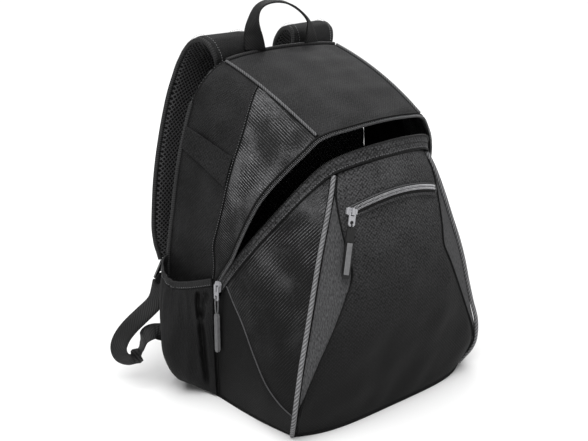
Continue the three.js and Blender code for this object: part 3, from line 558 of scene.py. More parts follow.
class Panel:
    """A cloth panel: a merged copy of its CAD node, cut flat for its pattern and worked up finely."""

    RIM_ANGLE = 0.8

    def __init__(self, node: str, name: str, lay: Lay, levels: int = 3, rim_crease: float = 0.85) -> None:
        """Copies a node, lays its cloth flat and refines it.

        Args:
            node: the CAD node that the panel stands for.
            name: the piece's name.
            lay: how the pattern is cut.
            levels: rounds of subdivision.
            rim_crease: how sharp the panel's edge stays.
        """
        self.node = node
        self.piece = self.merged_copy(node, name)
        self.rails_from = self.piece.data.copy()
        self.inner_edge, self.outer_edge = self.mark_rim(rim_crease)
        self.lay_flat(lay)
        modifier = self.piece.modifiers.new("fine", "SUBSURF")
        modifier.levels = modifier.render_levels = levels
        only(self.piece)
        bpy.ops.object.modifier_apply(modifier=modifier.name)
        bpy.ops.object.shade_smooth()

    @staticmethod
    def merged_copy(node: str, name: str) -> bpy.types.Object:
        """A copy of a CAD node with its doubles merged and its triangles paired into quads."""
        bpy.ops.object.select_all(action="DESELECT")
        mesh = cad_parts[node].data.copy()
        mesh.materials.clear()
        piece = bpy.data.objects.new(name, mesh)
        bpy.context.scene.collection.objects.link(piece)
        only(piece)
        bpy.ops.object.mode_set(mode="EDIT")
        bpy.ops.mesh.select_all(action="SELECT")
        bpy.ops.mesh.remove_doubles(threshold=2e-6)
        bpy.ops.mesh.tris_convert_to_quads(face_threshold=0.7, shape_threshold=math.pi)
        bpy.ops.object.mode_set(mode="OBJECT")
        return piece

    def mark_rim(self, crease: float) -> tuple[list[Vector], list[Vector]]:
        """Creases the sharp edges around the cloth and marks them as seams of its cut.

        Args:
            crease: how sharp the edges stay.

        Returns:
            The outlines of the cloth's inner and outer faces, each in order.
        """
        mesh = self.piece.data
        work = bmesh.new()
        work.from_mesh(mesh)
        layer = work.edges.layers.float.new("crease_edge")
        for edge in work.edges:
            sharp = edge.is_manifold and edge.calc_face_angle() > self.RIM_ANGLE
            edge[layer] = crease if sharp else 0.0
            edge.seam = sharp
        work.to_mesh(mesh)
        faces = sorted(self.islands(work), key=lambda group: -sum(face.calc_area() for face in group))[:2]
        faces.sort(key=lambda group: sum(f.normal.dot(f.calc_center_median() - HEART) for f in group))
        outlines = self.outline(faces[0]), self.outline(faces[-1])
        work.free()
        return outlines

    def edge_by(self, *nodes: str) -> list[Vector]:
        """The stretch of the cloth's outer edge that runs along other nodes."""
        trees = []
        for node in nodes:
            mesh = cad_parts[node].data
            places = [vertex.co for vertex in mesh.vertices]
            trees.append(BVHTree.FromPolygons(places, [tuple(face.vertices) for face in mesh.polygons]))
        near = [any(tree.find_nearest(point)[3] < 1.6 * MM for tree in trees) for point in self.outer_edge]
        starts = [i for i, here in enumerate(near) if here and not near[i - 1]]
        best: list[Vector] = []
        for start in starts:
            line = []
            for step in range(len(near)):
                index = (start + step) % len(near)
                if not near[index]:
                    break
                line.append(self.outer_edge[index])
            best = max(best, line, key=len)
        return best

    @staticmethod
    def outline(group: list[bmesh.types.BMFace]) -> list[Vector]:
        """The points around the longest edge loop of a group of faces, in order."""
        inside = set(group)
        edges = {edge for face in group for edge in face.edges if len(inside & set(edge.link_faces)) == 1}
        best: list[Vector] = []
        while edges:
            edge = min(edges, key=lambda e: e.index)
            vertex, line = edge.verts[0], []
            while edge:
                edges.discard(edge)
                line.append(vertex.co.copy())
                vertex = edge.other_vert(vertex)
                edge = next((e for e in vertex.link_edges if e in edges), None)
            best = max(best, line, key=len)
        return best

    def lay_flat(self, lay: Lay) -> None:
        """Unwraps the cloth and turns each cut piece to the pattern's directions, in metres."""
        mesh = self.piece.data
        for layer in list(mesh.uv_layers):
            mesh.uv_layers.remove(layer)
        mesh.uv_layers.new(name="cut")
        only(self.piece)
        bpy.ops.object.mode_set(mode="EDIT")
        bpy.ops.mesh.select_all(action="SELECT")
        bpy.ops.uv.unwrap(method="CONFORMAL", margin=0.0)
        bpy.ops.object.mode_set(mode="OBJECT")
        work = bmesh.new()
        work.from_mesh(mesh)
        flat = work.loops.layers.uv["cut"]
        for island in self.islands(work):
            loops = [loop for face in island for loop in face.loops]
            cut = np.array([tuple(loop[flat].uv) for loop in loops])
            solid = np.array([tuple(loop.vert.co) for loop in loops])
            spread = [np.array([tuple(loop[flat].uv) for loop in face.loops]) for face in island]
            flat_area = sum(self.area(corners) for corners in spread)
            scale = math.sqrt(sum(face.calc_area() for face in island) / max(flat_area, 1e-12))
            centred = (cut - cut.mean(0)) * scale
            if lay is Lay.LENGTHWISE:
                values, axes = np.linalg.eigh(centred.T @ centred)
                turned, middle = centred @ axes, np.zeros(2)
            else:
                target = np.stack([solid @ np.array(axis) for axis in lay.value], axis=1)
                middle = target.mean(0)
                u, _, v = np.linalg.svd(centred.T @ (target - middle))
                turned = centred @ u @ v
            for loop, place in zip(loops, turned + middle):
                loop[flat].uv = place
        work.to_mesh(mesh)
        work.free()

    @staticmethod
    def area(corners: np.ndarray) -> float:
        """The area of a flat polygon."""
        x, y = corners[:, 0], corners[:, 1]
        return abs(float(x @ np.roll(y, -1) - y @ np.roll(x, -1))) / 2

    @staticmethod
    def islands(work: bmesh.types.BMesh) -> list[list[bmesh.types.BMFace]]:
        """Groups of faces that no seam parts."""
        seen: set[int] = set()
        groups = []
        work.faces.ensure_lookup_table()
        for first in work.faces:
            if first.index in seen:
                continue
            seen.add(first.index)
            group, waiting = [], [first]
            while waiting:
                face = waiting.pop()
                group.append(face)
                for edge in face.edges:
                    for other in edge.link_faces:
                        if not edge.seam and other.index not in seen:
                            seen.add(other.index)
                            waiting.append(other)
            groups.append(group)
        return groups

    def outward(self, points: np.ndarray) -> np.ndarray:
        """At each point, the direction away from the bag's middle that is square to the cloth."""
        facing = normals(self.piece.data)
        inner = ((points - np.array(HEART)) * facing).sum(1) < 0
        return np.where(inner[:, None], -facing, facing)

    def work(self, *shapes: Fold | Wrinkles, roll: float = 0.0, reach: float = 5.0) -> None:
        """Moves the cloth in and out, and keeps how deep each fold presses as the crease attribute, which
        paints shade into the folds.

        Args:
            shapes: the folds and wrinkles to press into it.
            roll: how far its outer face drops at the seams, in millimetres.
            reach: how far from a seam that drop ends, in millimetres.
        """
        mesh = self.piece.data
        points = coordinates(mesh)
        outward = self.outward(points)
        rim = self.rim_distance(points)
        held = 1 - np.exp(-((rim / (7 * MM)) ** 2))
        shift = np.zeros(len(points))
        pressed = np.zeros(len(points))
        for shape in shapes:
            if isinstance(shape, Wrinkles):
                shift += shape.at(points) * held
            else:
                fold = shape.at(points) * (0.35 + 0.65 * held)
                shift += fold
                pressed -= fold
        # Painted shade in the folds: the pressed depth, stored as the crease attribute, darkens the cloth's
        # colour.
        crease = mesh.attributes.new("crease", "FLOAT", "POINT")
        crease.data.foreach_set("value", smooth_step(pressed / (3 * MM)))
        outer = (normals(mesh) * outward).sum(1) > 0.5
        drop = np.where(outer, roll * MM * np.exp(-((rim / (reach * MM)) ** 2)), 0.0)
        put(mesh, points + outward * (shift - drop)[:, None])

    def rim_distance(self, points: np.ndarray) -> np.ndarray:
        """How far each point lies from the nearest sharp edge of the cloth."""
        work = bmesh.new()
        work.from_mesh(self.piece.data)
        layer = work.edges.layers.float.get("crease_edge")
        places = [vertex.co.copy() for edge in work.edges if edge[layer] > 0.1 for vertex in edge.verts]
        work.free()
        tree = KDTree(len(places))
        for index, place in enumerate(places):
            tree.insert(place, index)
        tree.balance()
        return np.array([tree.find(Vector(point))[2] for point in points])

    def surface(self) -> BVHTree:
        """The refined cloth as a tree to find its nearest places in."""
        mesh = self.piece.data
        faces = [tuple(polygon.vertices) for polygon in mesh.polygons]
        return BVHTree.FromPolygons([vertex.co for vertex in mesh.vertices], faces)

    def rails(self, end: Sequence[float]) -> list[list[Vector]]:
        """The long edges of a strip, from the end that lies furthest in a direction."""
        return rails_of(self.rails_from, end)

    def done(self, finish: Finish, bound: bool = False) -> bpy.types.Object:
        """Dresses the panel, which then stands for its CAD node.

        Args:
            finish: what it is made of.
            bound: whether its edge is bound on the inside, as at a sewn seam.

        Returns:
            The panel's object.
        """
        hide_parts(self.node)
        if bound:
            ring = self.inner_edge + self.inner_edge[:2]
            dress(tube(f"{self.piece.name}_binding", curve_through(ring, 5 * MM), 1.3 * MM, 8), Finish.SEAM)
        return dress(self.piece, finish)


def caps_at(tip: bmesh.types.BMVert) -> Iterable[set[bmesh.types.BMVert]]:
    """Groups of points near a strip's tip that may be the outline of its flat end."""
    for likeness in (0.9999, 0.97, 0.85):
        for face in tip.link_faces:
            cap, waiting = {face}, [face]
            while waiting:
                here = waiting.pop()
                for other in {other for edge in here.edges for other in edge.link_faces} - cap:
                    if other.normal.dot(face.normal) > likeness:
                        cap.add(other)
                        waiting.append(other)
            yield {vertex for part in cap for vertex in part.verts}
    for face in tip.link_faces:
        for edge in face.edges:
            yield {vertex for part in edge.link_faces for vertex in part.verts}


def layers_from(cap: set[bmesh.types.BMVert]) -> list[list[bmesh.types.BMVert]]:
    """The rings of points reached step by step from a cap, or nothing if they aren't all alike."""
    layers, seen = [cap], set(cap)
    while True:
        ahead = {edge.other_vert(vertex) for vertex in layers[-1] for edge in vertex.link_edges} - seen
        if not ahead:
            return [sorted(layer, key=lambda v: v.index) for layer in layers] if len(layers) > 2 else []
        if len(ahead) != len(cap):
            return []
        layers.append(ahead)
        seen |= ahead


def aligned(rings: list[list[Vector]]) -> list[list[Vector]]:
    """Puts the points of each ring in the order of the ring before it."""
    centres = [sum(ring, Vector()) / len(ring) for ring in rings]
    result: list[list[Vector]] = []
    for i, ring in enumerate(rings):
        axis = (centres[min(i + 1, len(rings) - 1)] - centres[max(i - 1, 0)]).normalized()
        first = ring[0] - centres[i]
        x = (first - axis * first.dot(axis)).normalized()
        y = axis.cross(x)
        order = sorted(ring, key=lambda p: math.atan2((p - centres[i]).dot(y), (p - centres[i]).dot(x)))
        if result:
            before = [point - centres[i - 1] for point in result[-1]]
            turns = [order[k:] + order[:k] for k in range(len(order))]
            order = min(turns, key=lambda t: sum((p - centres[i] - q).length for p, q in zip(t, before)))
        result.append(order)
    return result


def rails_of(mesh: bpy.types.Mesh, end: Sequence[float]) -> list[list[Vector]]:
    """Follows the long edges of a lofted strip.

    Args:
        mesh: a lofted strip whose doubles are merged.
        end: the direction in which the strip's first end lies furthest.

    Returns:
        One line of points for each corner of the end's outline.
    """
    work = bmesh.new()
    work.from_mesh(mesh)
    tip = max(work.verts, key=lambda vertex: vertex.co.dot(Vector(end)))
    layers = next(filter(None, (layers_from(cap) for cap in caps_at(tip))), [])
    rings = aligned([[vertex.co.copy() for vertex in layer] for layer in layers])
    work.free()
    return [list(line) for line in zip(*rings)]


def smooth_line(points: Sequence[Vector], steps: int) -> list[Vector]:
    """A smooth line through points, with the same number of steps between each two."""
    fine: list[Vector] = []
    last = len(points) - 1
    for i in range(last):
        a, b, c, d = (points[min(max(i + k, 0), last)] for k in (-1, 0, 1, 2))
        for step in range(steps):
            t = step / steps
            cubic = (3 * b - a - 3 * c + d) * t**3
            fine.append(0.5 * ((2 * b) + (c - a) * t + (2 * a - 5 * b + 4 * c - d) * t**2 + cubic))
    return fine + [points[-1].copy()]


def curve_through(points: Sequence[Vector], spacing: float) -> list[Vector]:
    """A smooth line through points, with an even spacing in metres."""
    fine = smooth_line(points, 8)
    lengths = np.concatenate([[0], np.cumsum([(q - p).length for p, q in zip(fine, fine[1:])])])
    count = max(2, round(lengths[-1] / spacing) + 1)
    stations = np.linspace(0, lengths[-1], count)
    flat = np.array([tuple(point) for point in fine])
    return [Vector([np.interp(s, lengths, flat[:, axis]) for axis in range(3)]) for s in stations]


@dataclass
class Strip:
    """The lines of a flat strip: its middle, the ways across it and out of its face, and its half sizes."""

    middle: list[Vector]
    across: list[Vector]
    out: list[Vector]
    half: list[float]
    thick: list[float]

    @classmethod
    def of(cls, node: str, end: Sequence[float], facing: Vector) -> "Strip":
        """Reads a strip from its CAD node.

        Args:
            node: a lofted node.
            end: the direction in which its first end lies furthest.
            facing: the direction in which its outer face looks, at its first end.

        Returns:
            The strip's lines.
        """
        guide = Panel.merged_copy(node, f"{node}_guide")
        rails = [smooth_line(rail, 6) for rail in rails_of(guide.data, end)]
        bpy.data.objects.remove(guide)
        strip = cls([], [], [], [], [])
        rings = list(zip(*rails))
        centres = [sum(ring, Vector()) / len(ring) for ring in rings]
        across = Vector()
        for i, (ring, centre) in enumerate(zip(rings, centres)):
            spread = np.array([tuple(point - centre) for point in ring])
            widest = Vector(np.linalg.svd(spread)[2][0])
            along = (centres[min(i + 1, len(rings) - 1)] - centres[max(i - 1, 0)]).normalized()
            widest = (widest - along * widest.dot(along)).normalized()
            if i == 0:
                across = widest if along.cross(widest).dot(facing) > 0 else -widest
            else:
                across = widest if widest.dot(across) > 0 else -widest
            out = along.cross(across)
            strip.middle.append(centre)
            strip.across.append(across)
            strip.out.append(out)
            strip.half.append(max(abs(float(row @ np.array(across))) for row in spread))
            strip.thick.append(max(abs(float(row @ np.array(out))) for row in spread))
        return strip

    def line(self, share: float, lift: float = 0.0, ends: tuple[float, float] = (0.0, 1.0)) -> list[Vector]:
        """A line along the strip.

        Args:
            share: its place across, -1 to 1.
            lift: how far it lies over the outer face, in millimetres.
            ends: the part of the strip's length that it takes.

        Returns:
            The line's points.
        """
        rows = zip(self.middle, self.across, self.out, self.half, self.thick)
        points = [m + a * half * share + o * (thick + lift * MM) for m, a, o, half, thick in rows]
        return points[round(ends[0] * (len(points) - 1)) : round(ends[1] * (len(points) - 1)) + 1]

    def facing(self, point: Vector) -> Vector:
        """The direction out of the strip's face nearest to a point."""
        return self.out[min(range(len(self.middle)), key=lambda i: (self.middle[i] - point).length)]

    def lay(self, piece: bpy.types.Object) -> None:
        """Lays a piece's cloth out flat along the strip, in metres."""
        tree = KDTree(len(self.middle))
        for index, place in enumerate(self.middle):
            tree.insert(place, index)
        tree.balance()
        steps = [(q - p).length for p, q in zip(self.middle, self.middle[1:])]
        run = np.concatenate([[0], np.cumsum(steps)])
        mesh = piece.data
        cuts = []
        for vertex in mesh.vertices:
            i = tree.find(vertex.co)[1]
            away = vertex.co - self.middle[i]
            along = self.out[i].cross(self.across[i])
            cuts.append((away.dot(self.across[i]), float(run[i]) - away.dot(along)))
        layer = mesh.uv_layers.get("cut") or mesh.uv_layers.new(name="cut")
        for loop in mesh.loops:
            layer.data[loop.index].uv = cuts[loop.vertex_index]


@dataclass(frozen=True)
class Padding:
    """Foam in a cloth: its mesh's fineness, its pressure, the slack it takes up and the most it swells."""

    voxel: float = 5.0
    pressure: float = 4.0
    slack: float = 2.2
    swell: float = 2.6

    def fill(self, piece: bpy.types.Object) -> None:
        """Swells a piece by a cloth simulation and applies it; lengths are in millimetres."""
        mesh = piece.data
        put(mesh, coordinates(mesh) - normals(mesh) * self.slack * MM)
        only(piece)
        remesh = piece.modifiers.new("even", "REMESH")
        remesh.mode = "VOXEL"
        remesh.voxel_size = self.voxel * MM
        bpy.ops.object.modifier_apply(modifier=remesh.name)
        flat = coordinates(piece.data)
        cloth = piece.modifiers.new("foam", "CLOTH")
        cloth.settings.use_pressure = True
        cloth.settings.uniform_pressure_force = self.pressure
        cloth.settings.effector_weights.gravity = 0
        cloth.settings.quality = 4
        for moment in range(1, 21):
            bpy.context.scene.frame_set(moment)
        bpy.ops.object.modifier_apply(modifier=cloth.name)
        bpy.context.scene.frame_set(1)
        moved = coordinates(piece.data) - flat
        far = np.linalg.norm(moved, axis=1)
        held = self.swell * MM * np.tanh(far / (self.swell * MM))
        put(piece.data, flat + moved * (held / np.maximum(far, 1e-9))[:, None])
        finer = piece.modifiers.new("finer", "SUBSURF")
        finer.levels = finer.render_levels = 1
        bpy.ops.object.modifier_apply(modifier=finer.name)
        bpy.ops.object.shade_smooth()


def skin_of(
    piece: bpy.types.Object, name: str, kept: Callable[[Vector, Vector], bool], wall: float
) -> bpy.types.Object:
    """A closed cloth over a part of a finished piece.

    Args:
        piece: the piece that it covers.
        name: the new piece's name.
        kept: says for a face's middle and normal whether the cloth covers it.
        wall: the cloth's thickness in millimetres.

    Returns:
        The new piece.
    """
    work = bmesh.new()
    work.from_mesh(piece.data)
    bare = [face for face in work.faces if not kept(face.calc_center_median(), face.normal)]
    bmesh.ops.delete(work, geom=bare, context="FACES")
    mesh = bpy.data.meshes.new(name)
    work.to_mesh(mesh)
    work.free()
    skin = bpy.data.objects.new(name, mesh)
    bpy.context.scene.collection.objects.link(skin)
    only(skin)
    solid = skin.modifiers.new("wall", "SOLIDIFY")
    solid.thickness = wall * MM
    solid.offset = 1.0
    bpy.ops.object.modifier_apply(modifier=solid.name)
    bpy.ops.object.shade_smooth_by_angle(angle=1.0)
    return skin


def between(first: Sequence[Vector], second: Sequence[Vector], share: float) -> list[Vector]:
    """The line that lies between two rails, by a share."""
    return [a.lerp(b, share) for a, b in zip(first, second)]


def frames_along(line: Sequence[Vector], facing: Callable[[Vector], Vector]) -> list[Matrix]:
    """Placing matrices along a line: x runs with it, z points where the facing says."""
    places = []
    for i, point in enumerate(line):
        ahead = line[min(i + 1, len(line) - 1)] - line[max(i - 1, 0)]
        out = facing(point)
        x = (ahead - out * ahead.dot(out)).normalized()
        basis = Matrix((x, out.cross(x), out)).transposed()
        places.append(Matrix.Translation(point) @ basis.to_4x4())
    return places


def copies(pattern: bpy.types.Mesh, places: Iterable[Matrix], name: str) -> bpy.types.Object:
    """Joins many copies of a small shape into one piece."""
    base = coordinates(pattern)
    faces = [tuple(polygon.vertices) for polygon in pattern.polygons]
    points, polygons = [], []
    for count, place in enumerate(places):
        matrix = np.array(place)
        points.append(base @ matrix[:3, :3].T + matrix[:3, 3])
        polygons += [tuple(index + count * len(base) for index in face) for face in faces]
    mesh = bpy.data.meshes.new(name)
    mesh.from_pydata(np.concatenate(points).tolist(), [], polygons)
    mesh.update()
    piece = bpy.data.objects.new(name, mesh)
    bpy.context.scene.collection.objects.link(piece)
    only(piece)
    bpy.ops.object.shade_smooth()
    return piece


def pattern_mesh(shape: Callable[[], None]) -> bpy.types.Mesh:
    """Models a small shape with operators and takes its mesh."""
    bpy.ops.object.select_all(action="DESELECT")
    shape()
    piece = bpy.context.object
    bpy.ops.object.transform_apply(location=True, rotation=True, scale=True)
    mesh = piece.data.copy()
    bpy.data.objects.remove(piece)
    return mesh


@dataclass(frozen=True)
class Thread:
    """A sewing thread: the length and thickness of a stitch and the pitch of a row, in millimetres."""

    length: float = 2.4
    thickness: float = 0.55
    pitch: float = 3.4

    def stitch(self) -> bpy.types.Mesh:
        """One stitch, lying along X."""

        def shape() -> None:
            bpy.ops.mesh.primitive_uv_sphere_add(segments=6, ring_count=4, radius=0.5 * MM)
            bpy.context.object.scale = (self.length, self.thickness, self.thickness)

        return pattern_mesh(shape)

    def row(
        self, name: str, lines: Sequence[Sequence[Vector]], facing: Callable[[Vector], Vector]
    ) -> bpy.types.Object:
        """Sews rows of stitches along lines of points."""
        places = []
        for line in lines:
            places += frames_along(curve_through(line, self.pitch * MM), facing)[1:-1]
        return copies(self.stitch(), places, name)


def tube(name: str, path: Sequence[Vector], radius: float, sides: int = 12) -> bpy.types.Object:
    """A closed round cord along a path, with its cut laid out lengthwise in metres.

    Args:
        name: the piece's name.
        path: the cord's middle line.
        radius: the cord's radius in metres.
        sides: how many sides its round has.

    Returns:
        The cord's object.
    """
    count = len(path)
    points, faces, flats = [], [], []
    side = Vector((0.31, 0.9, 0.2))
    length = 0.0
    for i, place in enumerate(path):
        ahead = (path[min(i + 1, count - 1)] - path[max(i - 1, 0)]).normalized()
        side = (side - ahead * side.dot(ahead)).normalized()
        other = ahead.cross(side)
        length += (place - path[i - 1]).length if i else 0.0
        for k in range(sides):
            angle = 2 * math.pi * k / sides
            points.append(place + (side * math.cos(angle) + other * math.sin(angle)) * radius)
        flats.append(length)
    for i in range(count - 1):
        for k in range(sides):
            n = (k + 1) % sides
            faces.append((i * sides + k, i * sides + n, (i + 1) * sides + n, (i + 1) * sides + k))
    faces.append(tuple(reversed(range(sides))))
    faces.append(tuple(range((count - 1) * sides, count * sides)))
    mesh = bpy.data.meshes.new(name)
    mesh.from_pydata(points, [], faces)
    layer = mesh.uv_layers.new(name="cut")
    girth = 2 * math.pi * radius
    for polygon in mesh.polygons:
        around = [mesh.loops[loop].vertex_index % sides for loop in polygon.loop_indices]
        wraps = max(around) - min(around) > sides / 2
        for loop in polygon.loop_indices:
            index = mesh.loops[loop].vertex_index
            step = index % sides
            step = step + sides if wraps and step < sides / 2 else step
            layer.data[loop].uv = (step / sides * girth, flats[index // sides])
    piece = bpy.data.objects.new(name, mesh)
    bpy.context.scene.collection.objects.link(piece)
    only(piece)
    bpy.ops.object.shade_smooth_by_angle(angle=1.0)
    return piece


def ribbon(
    name: str, middle: Sequence[Vector], across: Sequence[Vector], half: float, thick: float
) -> bpy.types.Object:
    """A closed flat band along a line, with its cut laid out in metres.

    Args:
        name: the piece's name.
        middle: the band's middle line.
        across: the direction over its width at each point of the line.
        half: half its width in millimetres.
        thick: half its thickness in millimetres.

    Returns:
        The band's object.
    """
    points, flats, faces = [], [], []
    run = 0.0
    for i, (place, side) in enumerate(zip(middle, across)):
        ahead = (middle[min(i + 1, len(middle) - 1)] - middle[max(i - 1, 0)]).normalized()
        out = ahead.cross(side).normalized()
        run += (place - middle[i - 1]).length if i else 0.0
        for x, y in ((-1, -1), (1, -1), (1, 1), (-1, 1)):
            points.append(place + side * (x * half * MM) + out * (y * thick * MM))
            flats.append((x * half * MM, run))
    for i in range(len(middle) - 1):
        here, ahead = 4 * i, 4 * i + 4
        faces += [(here + k, here + (k + 1) % 4, ahead + (k + 1) % 4, ahead + k) for k in range(4)]
    last = 4 * (len(middle) - 1)
    faces += [(3, 2, 1, 0), (last, last + 1, last + 2, last + 3)]
    mesh = bpy.data.meshes.new(name)
    mesh.from_pydata(points, [], faces)
    layer = mesh.uv_layers.new(name="cut")
    for loop in mesh.loops:
        layer.data[loop.index].uv = flats[loop.vertex_index]
    piece = bpy.data.objects.new(name, mesh)
    bpy.context.scene.collection.objects.link(piece)
    only(piece)
    bpy.ops.object.mode_set(mode="EDIT")
    bpy.ops.mesh.select_all(action="SELECT")
    bpy.ops.mesh.normals_make_consistent(inside=False)
    bpy.ops.object.mode_set(mode="OBJECT")
    bpy.ops.object.shade_smooth_by_angle(angle=0.7)
    return piece


def centre_line(node: str, end: Sequence[float]) -> list[Vector]:
    """The middle line of a lofted CAD node."""
    piece = Panel.merged_copy(node, f"{node}_guide")
    rails = rails_of(piece.data, end)
    bpy.data.objects.remove(piece)
    count = min(len(rail) for rail in rails)
    return [sum((rail[i] for rail in rails), Vector()) / len(rails) for i in range(count)]


def away_from_heart(point: Vector) -> Vector:
    """The direction from the bag's middle to a point."""
    return (point - HEART).normalized()


def facing_of(panel: Panel) -> Callable[[Vector], Vector]:
    """Gives the outward direction of a panel near a point."""
    tree = panel.surface()

    def facing(point: Vector) -> Vector:
        normal = tree.find_nearest(point)[1]
        return normal if normal.dot(point - HEART) > 0 else -normal

    return facing


@dataclass
class RearShell:
    """The hood, the sides and the upper zip of the bag."""

    piping_radius: float = 1.8
    roll_radius: float = 1.3
    back_radius: float = 2.6
    coil_pitch: float = 1.9
    side_wrinkles: tuple[Wrinkles, ...] = (
        Wrinkles((0, 0.25, 1), 26, 110, 3.0, 1.3),
        Wrinkles((0, -0.4, 1), 14, 60, 1.2, 5.1),
    )
    hood_wrinkles: tuple[Wrinkles, ...] = (
        Wrinkles((0.3, 0.6, -0.5), 30, 90, 2.2, 2.7),
        Wrinkles((1, 0.1, 0), 18, 70, 1.0, 8.2),
    )
    rib_wrinkles: tuple[Wrinkles, ...] = (Wrinkles((0, 0.8, 0.5), 30, 100, 2.0, 4.4),)

    def build(self) -> None:
        """Builds all of the rear shell's pieces."""
        self.hood()
        for side in Side:
            self.side_cloth(side)
        self.upper_zip()

    def hood(self) -> None:
        """The plain hood between the two lines of piping."""
        panel = Panel("hood_panel", "hood_cloth", Lay.TOP)
        panel.work(*self.hood_wrinkles, roll=0.8)
        self.back_seam(panel, "top")
        panel.done(Finish.PLAIN, bound=True)

    def back_seam(self, panel: Panel, place: str) -> None:
        """The bound seam where a panel of the shell meets the back."""
        seam = panel.edge_by("back_panel")
        roll = tube(f"back_seam_roll_{place}", curve_through(seam, 0.004), self.back_radius * MM)
        dress(roll, Finish.BINDING)

    def side_cloth(self, side: Side) -> None:
        """One side: its ribbed cloths, its flat band and the piping over the shoulder."""
        word = side.word
        for node, finish, wrinkles in (
            ("side_panel", Finish.SIDE, self.side_wrinkles),
            ("rib_panel", Finish.RIB, self.rib_wrinkles),
        ):
            panel = Panel(f"{node}_{word}", f"{node.replace('panel', 'cloth')}_{word}", Lay.SIDE)
            panel.work(*wrinkles, roll=0.8)
            panel.done(finish, bound=True)
            if node == "side_panel":
                self.back_seam(panel, word)
                seam = panel.edge_by(f"rib_panel_{word}")
                dress(tube(f"side_seam_roll_{word}", curve_through(seam, 0.004), 0.9 * MM, 8), Finish.SEAM)
                rows = [[point + away_from_heart(point) * 0.9 * MM for point in seam]]
                stitches = Thread(1.5, 0.5, 3.2).row(f"side_seam_stitches_{word}", rows, away_from_heart)
                dress(stitches, Finish.STITCH)
        band = Panel(f"side_band_{word}", f"flat_band_{word}", Lay.SIDE, levels=2)
        band.done(Finish.STRIPE)
        line = centre_line(f"hood_piping_{word}", (0, -1, -0.4))
        cord = tube(f"shoulder_piping_{word}", curve_through(line, 0.0025), self.piping_radius * MM)
        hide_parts(f"hood_piping_{word}")
        dress(cord, Finish.CORDED)

    def upper_zip(self) -> None:
        """The tape and the coil around the hood's open edge."""
        tape = Panel("hood_zip_tape", "hood_zip_cloth", Lay.LENGTHWISE, levels=2)
        low, high = outer_rails(tape.rails((-1, 0, -1)))
        facing = facing_of(tape)
        tape.done(Finish.TAPE)
        dress(Coil(self.coil_pitch).row("hood_zip_coil", low, facing), Finish.COIL)
        dress(tube("hood_edge_roll", curve_through(high, 0.004), self.roll_radius * MM), Finish.SEAM)
        stitches = Thread(1.6, 0.5, 2.8).row("hood_edge_stitches", [between(low, high, 0.6)], facing)
        dress(stitches, Finish.STITCH)


@dataclass(frozen=True)
class Coil:
    """Zip teeth: small loops of nylon side by side."""

    pitch: float

    def tooth(self) -> bpy.types.Mesh:
        """One loop of the coil, across X."""

        def shape() -> None:
            bpy.ops.mesh.primitive_torus_add(
                major_segments=7, minor_segments=4, major_radius=1.15 * MM, minor_radius=0.42 * MM
            )
            bpy.context.object.rotation_euler = (0, math.pi / 2, 0)

        return pattern_mesh(shape)

    def row(
        self, name: str, line: Sequence[Vector], facing: Callable[[Vector], Vector]
    ) -> bpy.types.Object:
        """A row of teeth along a line."""
        return copies(self.tooth(), frames_along(curve_through(line, self.pitch * MM), facing), name)


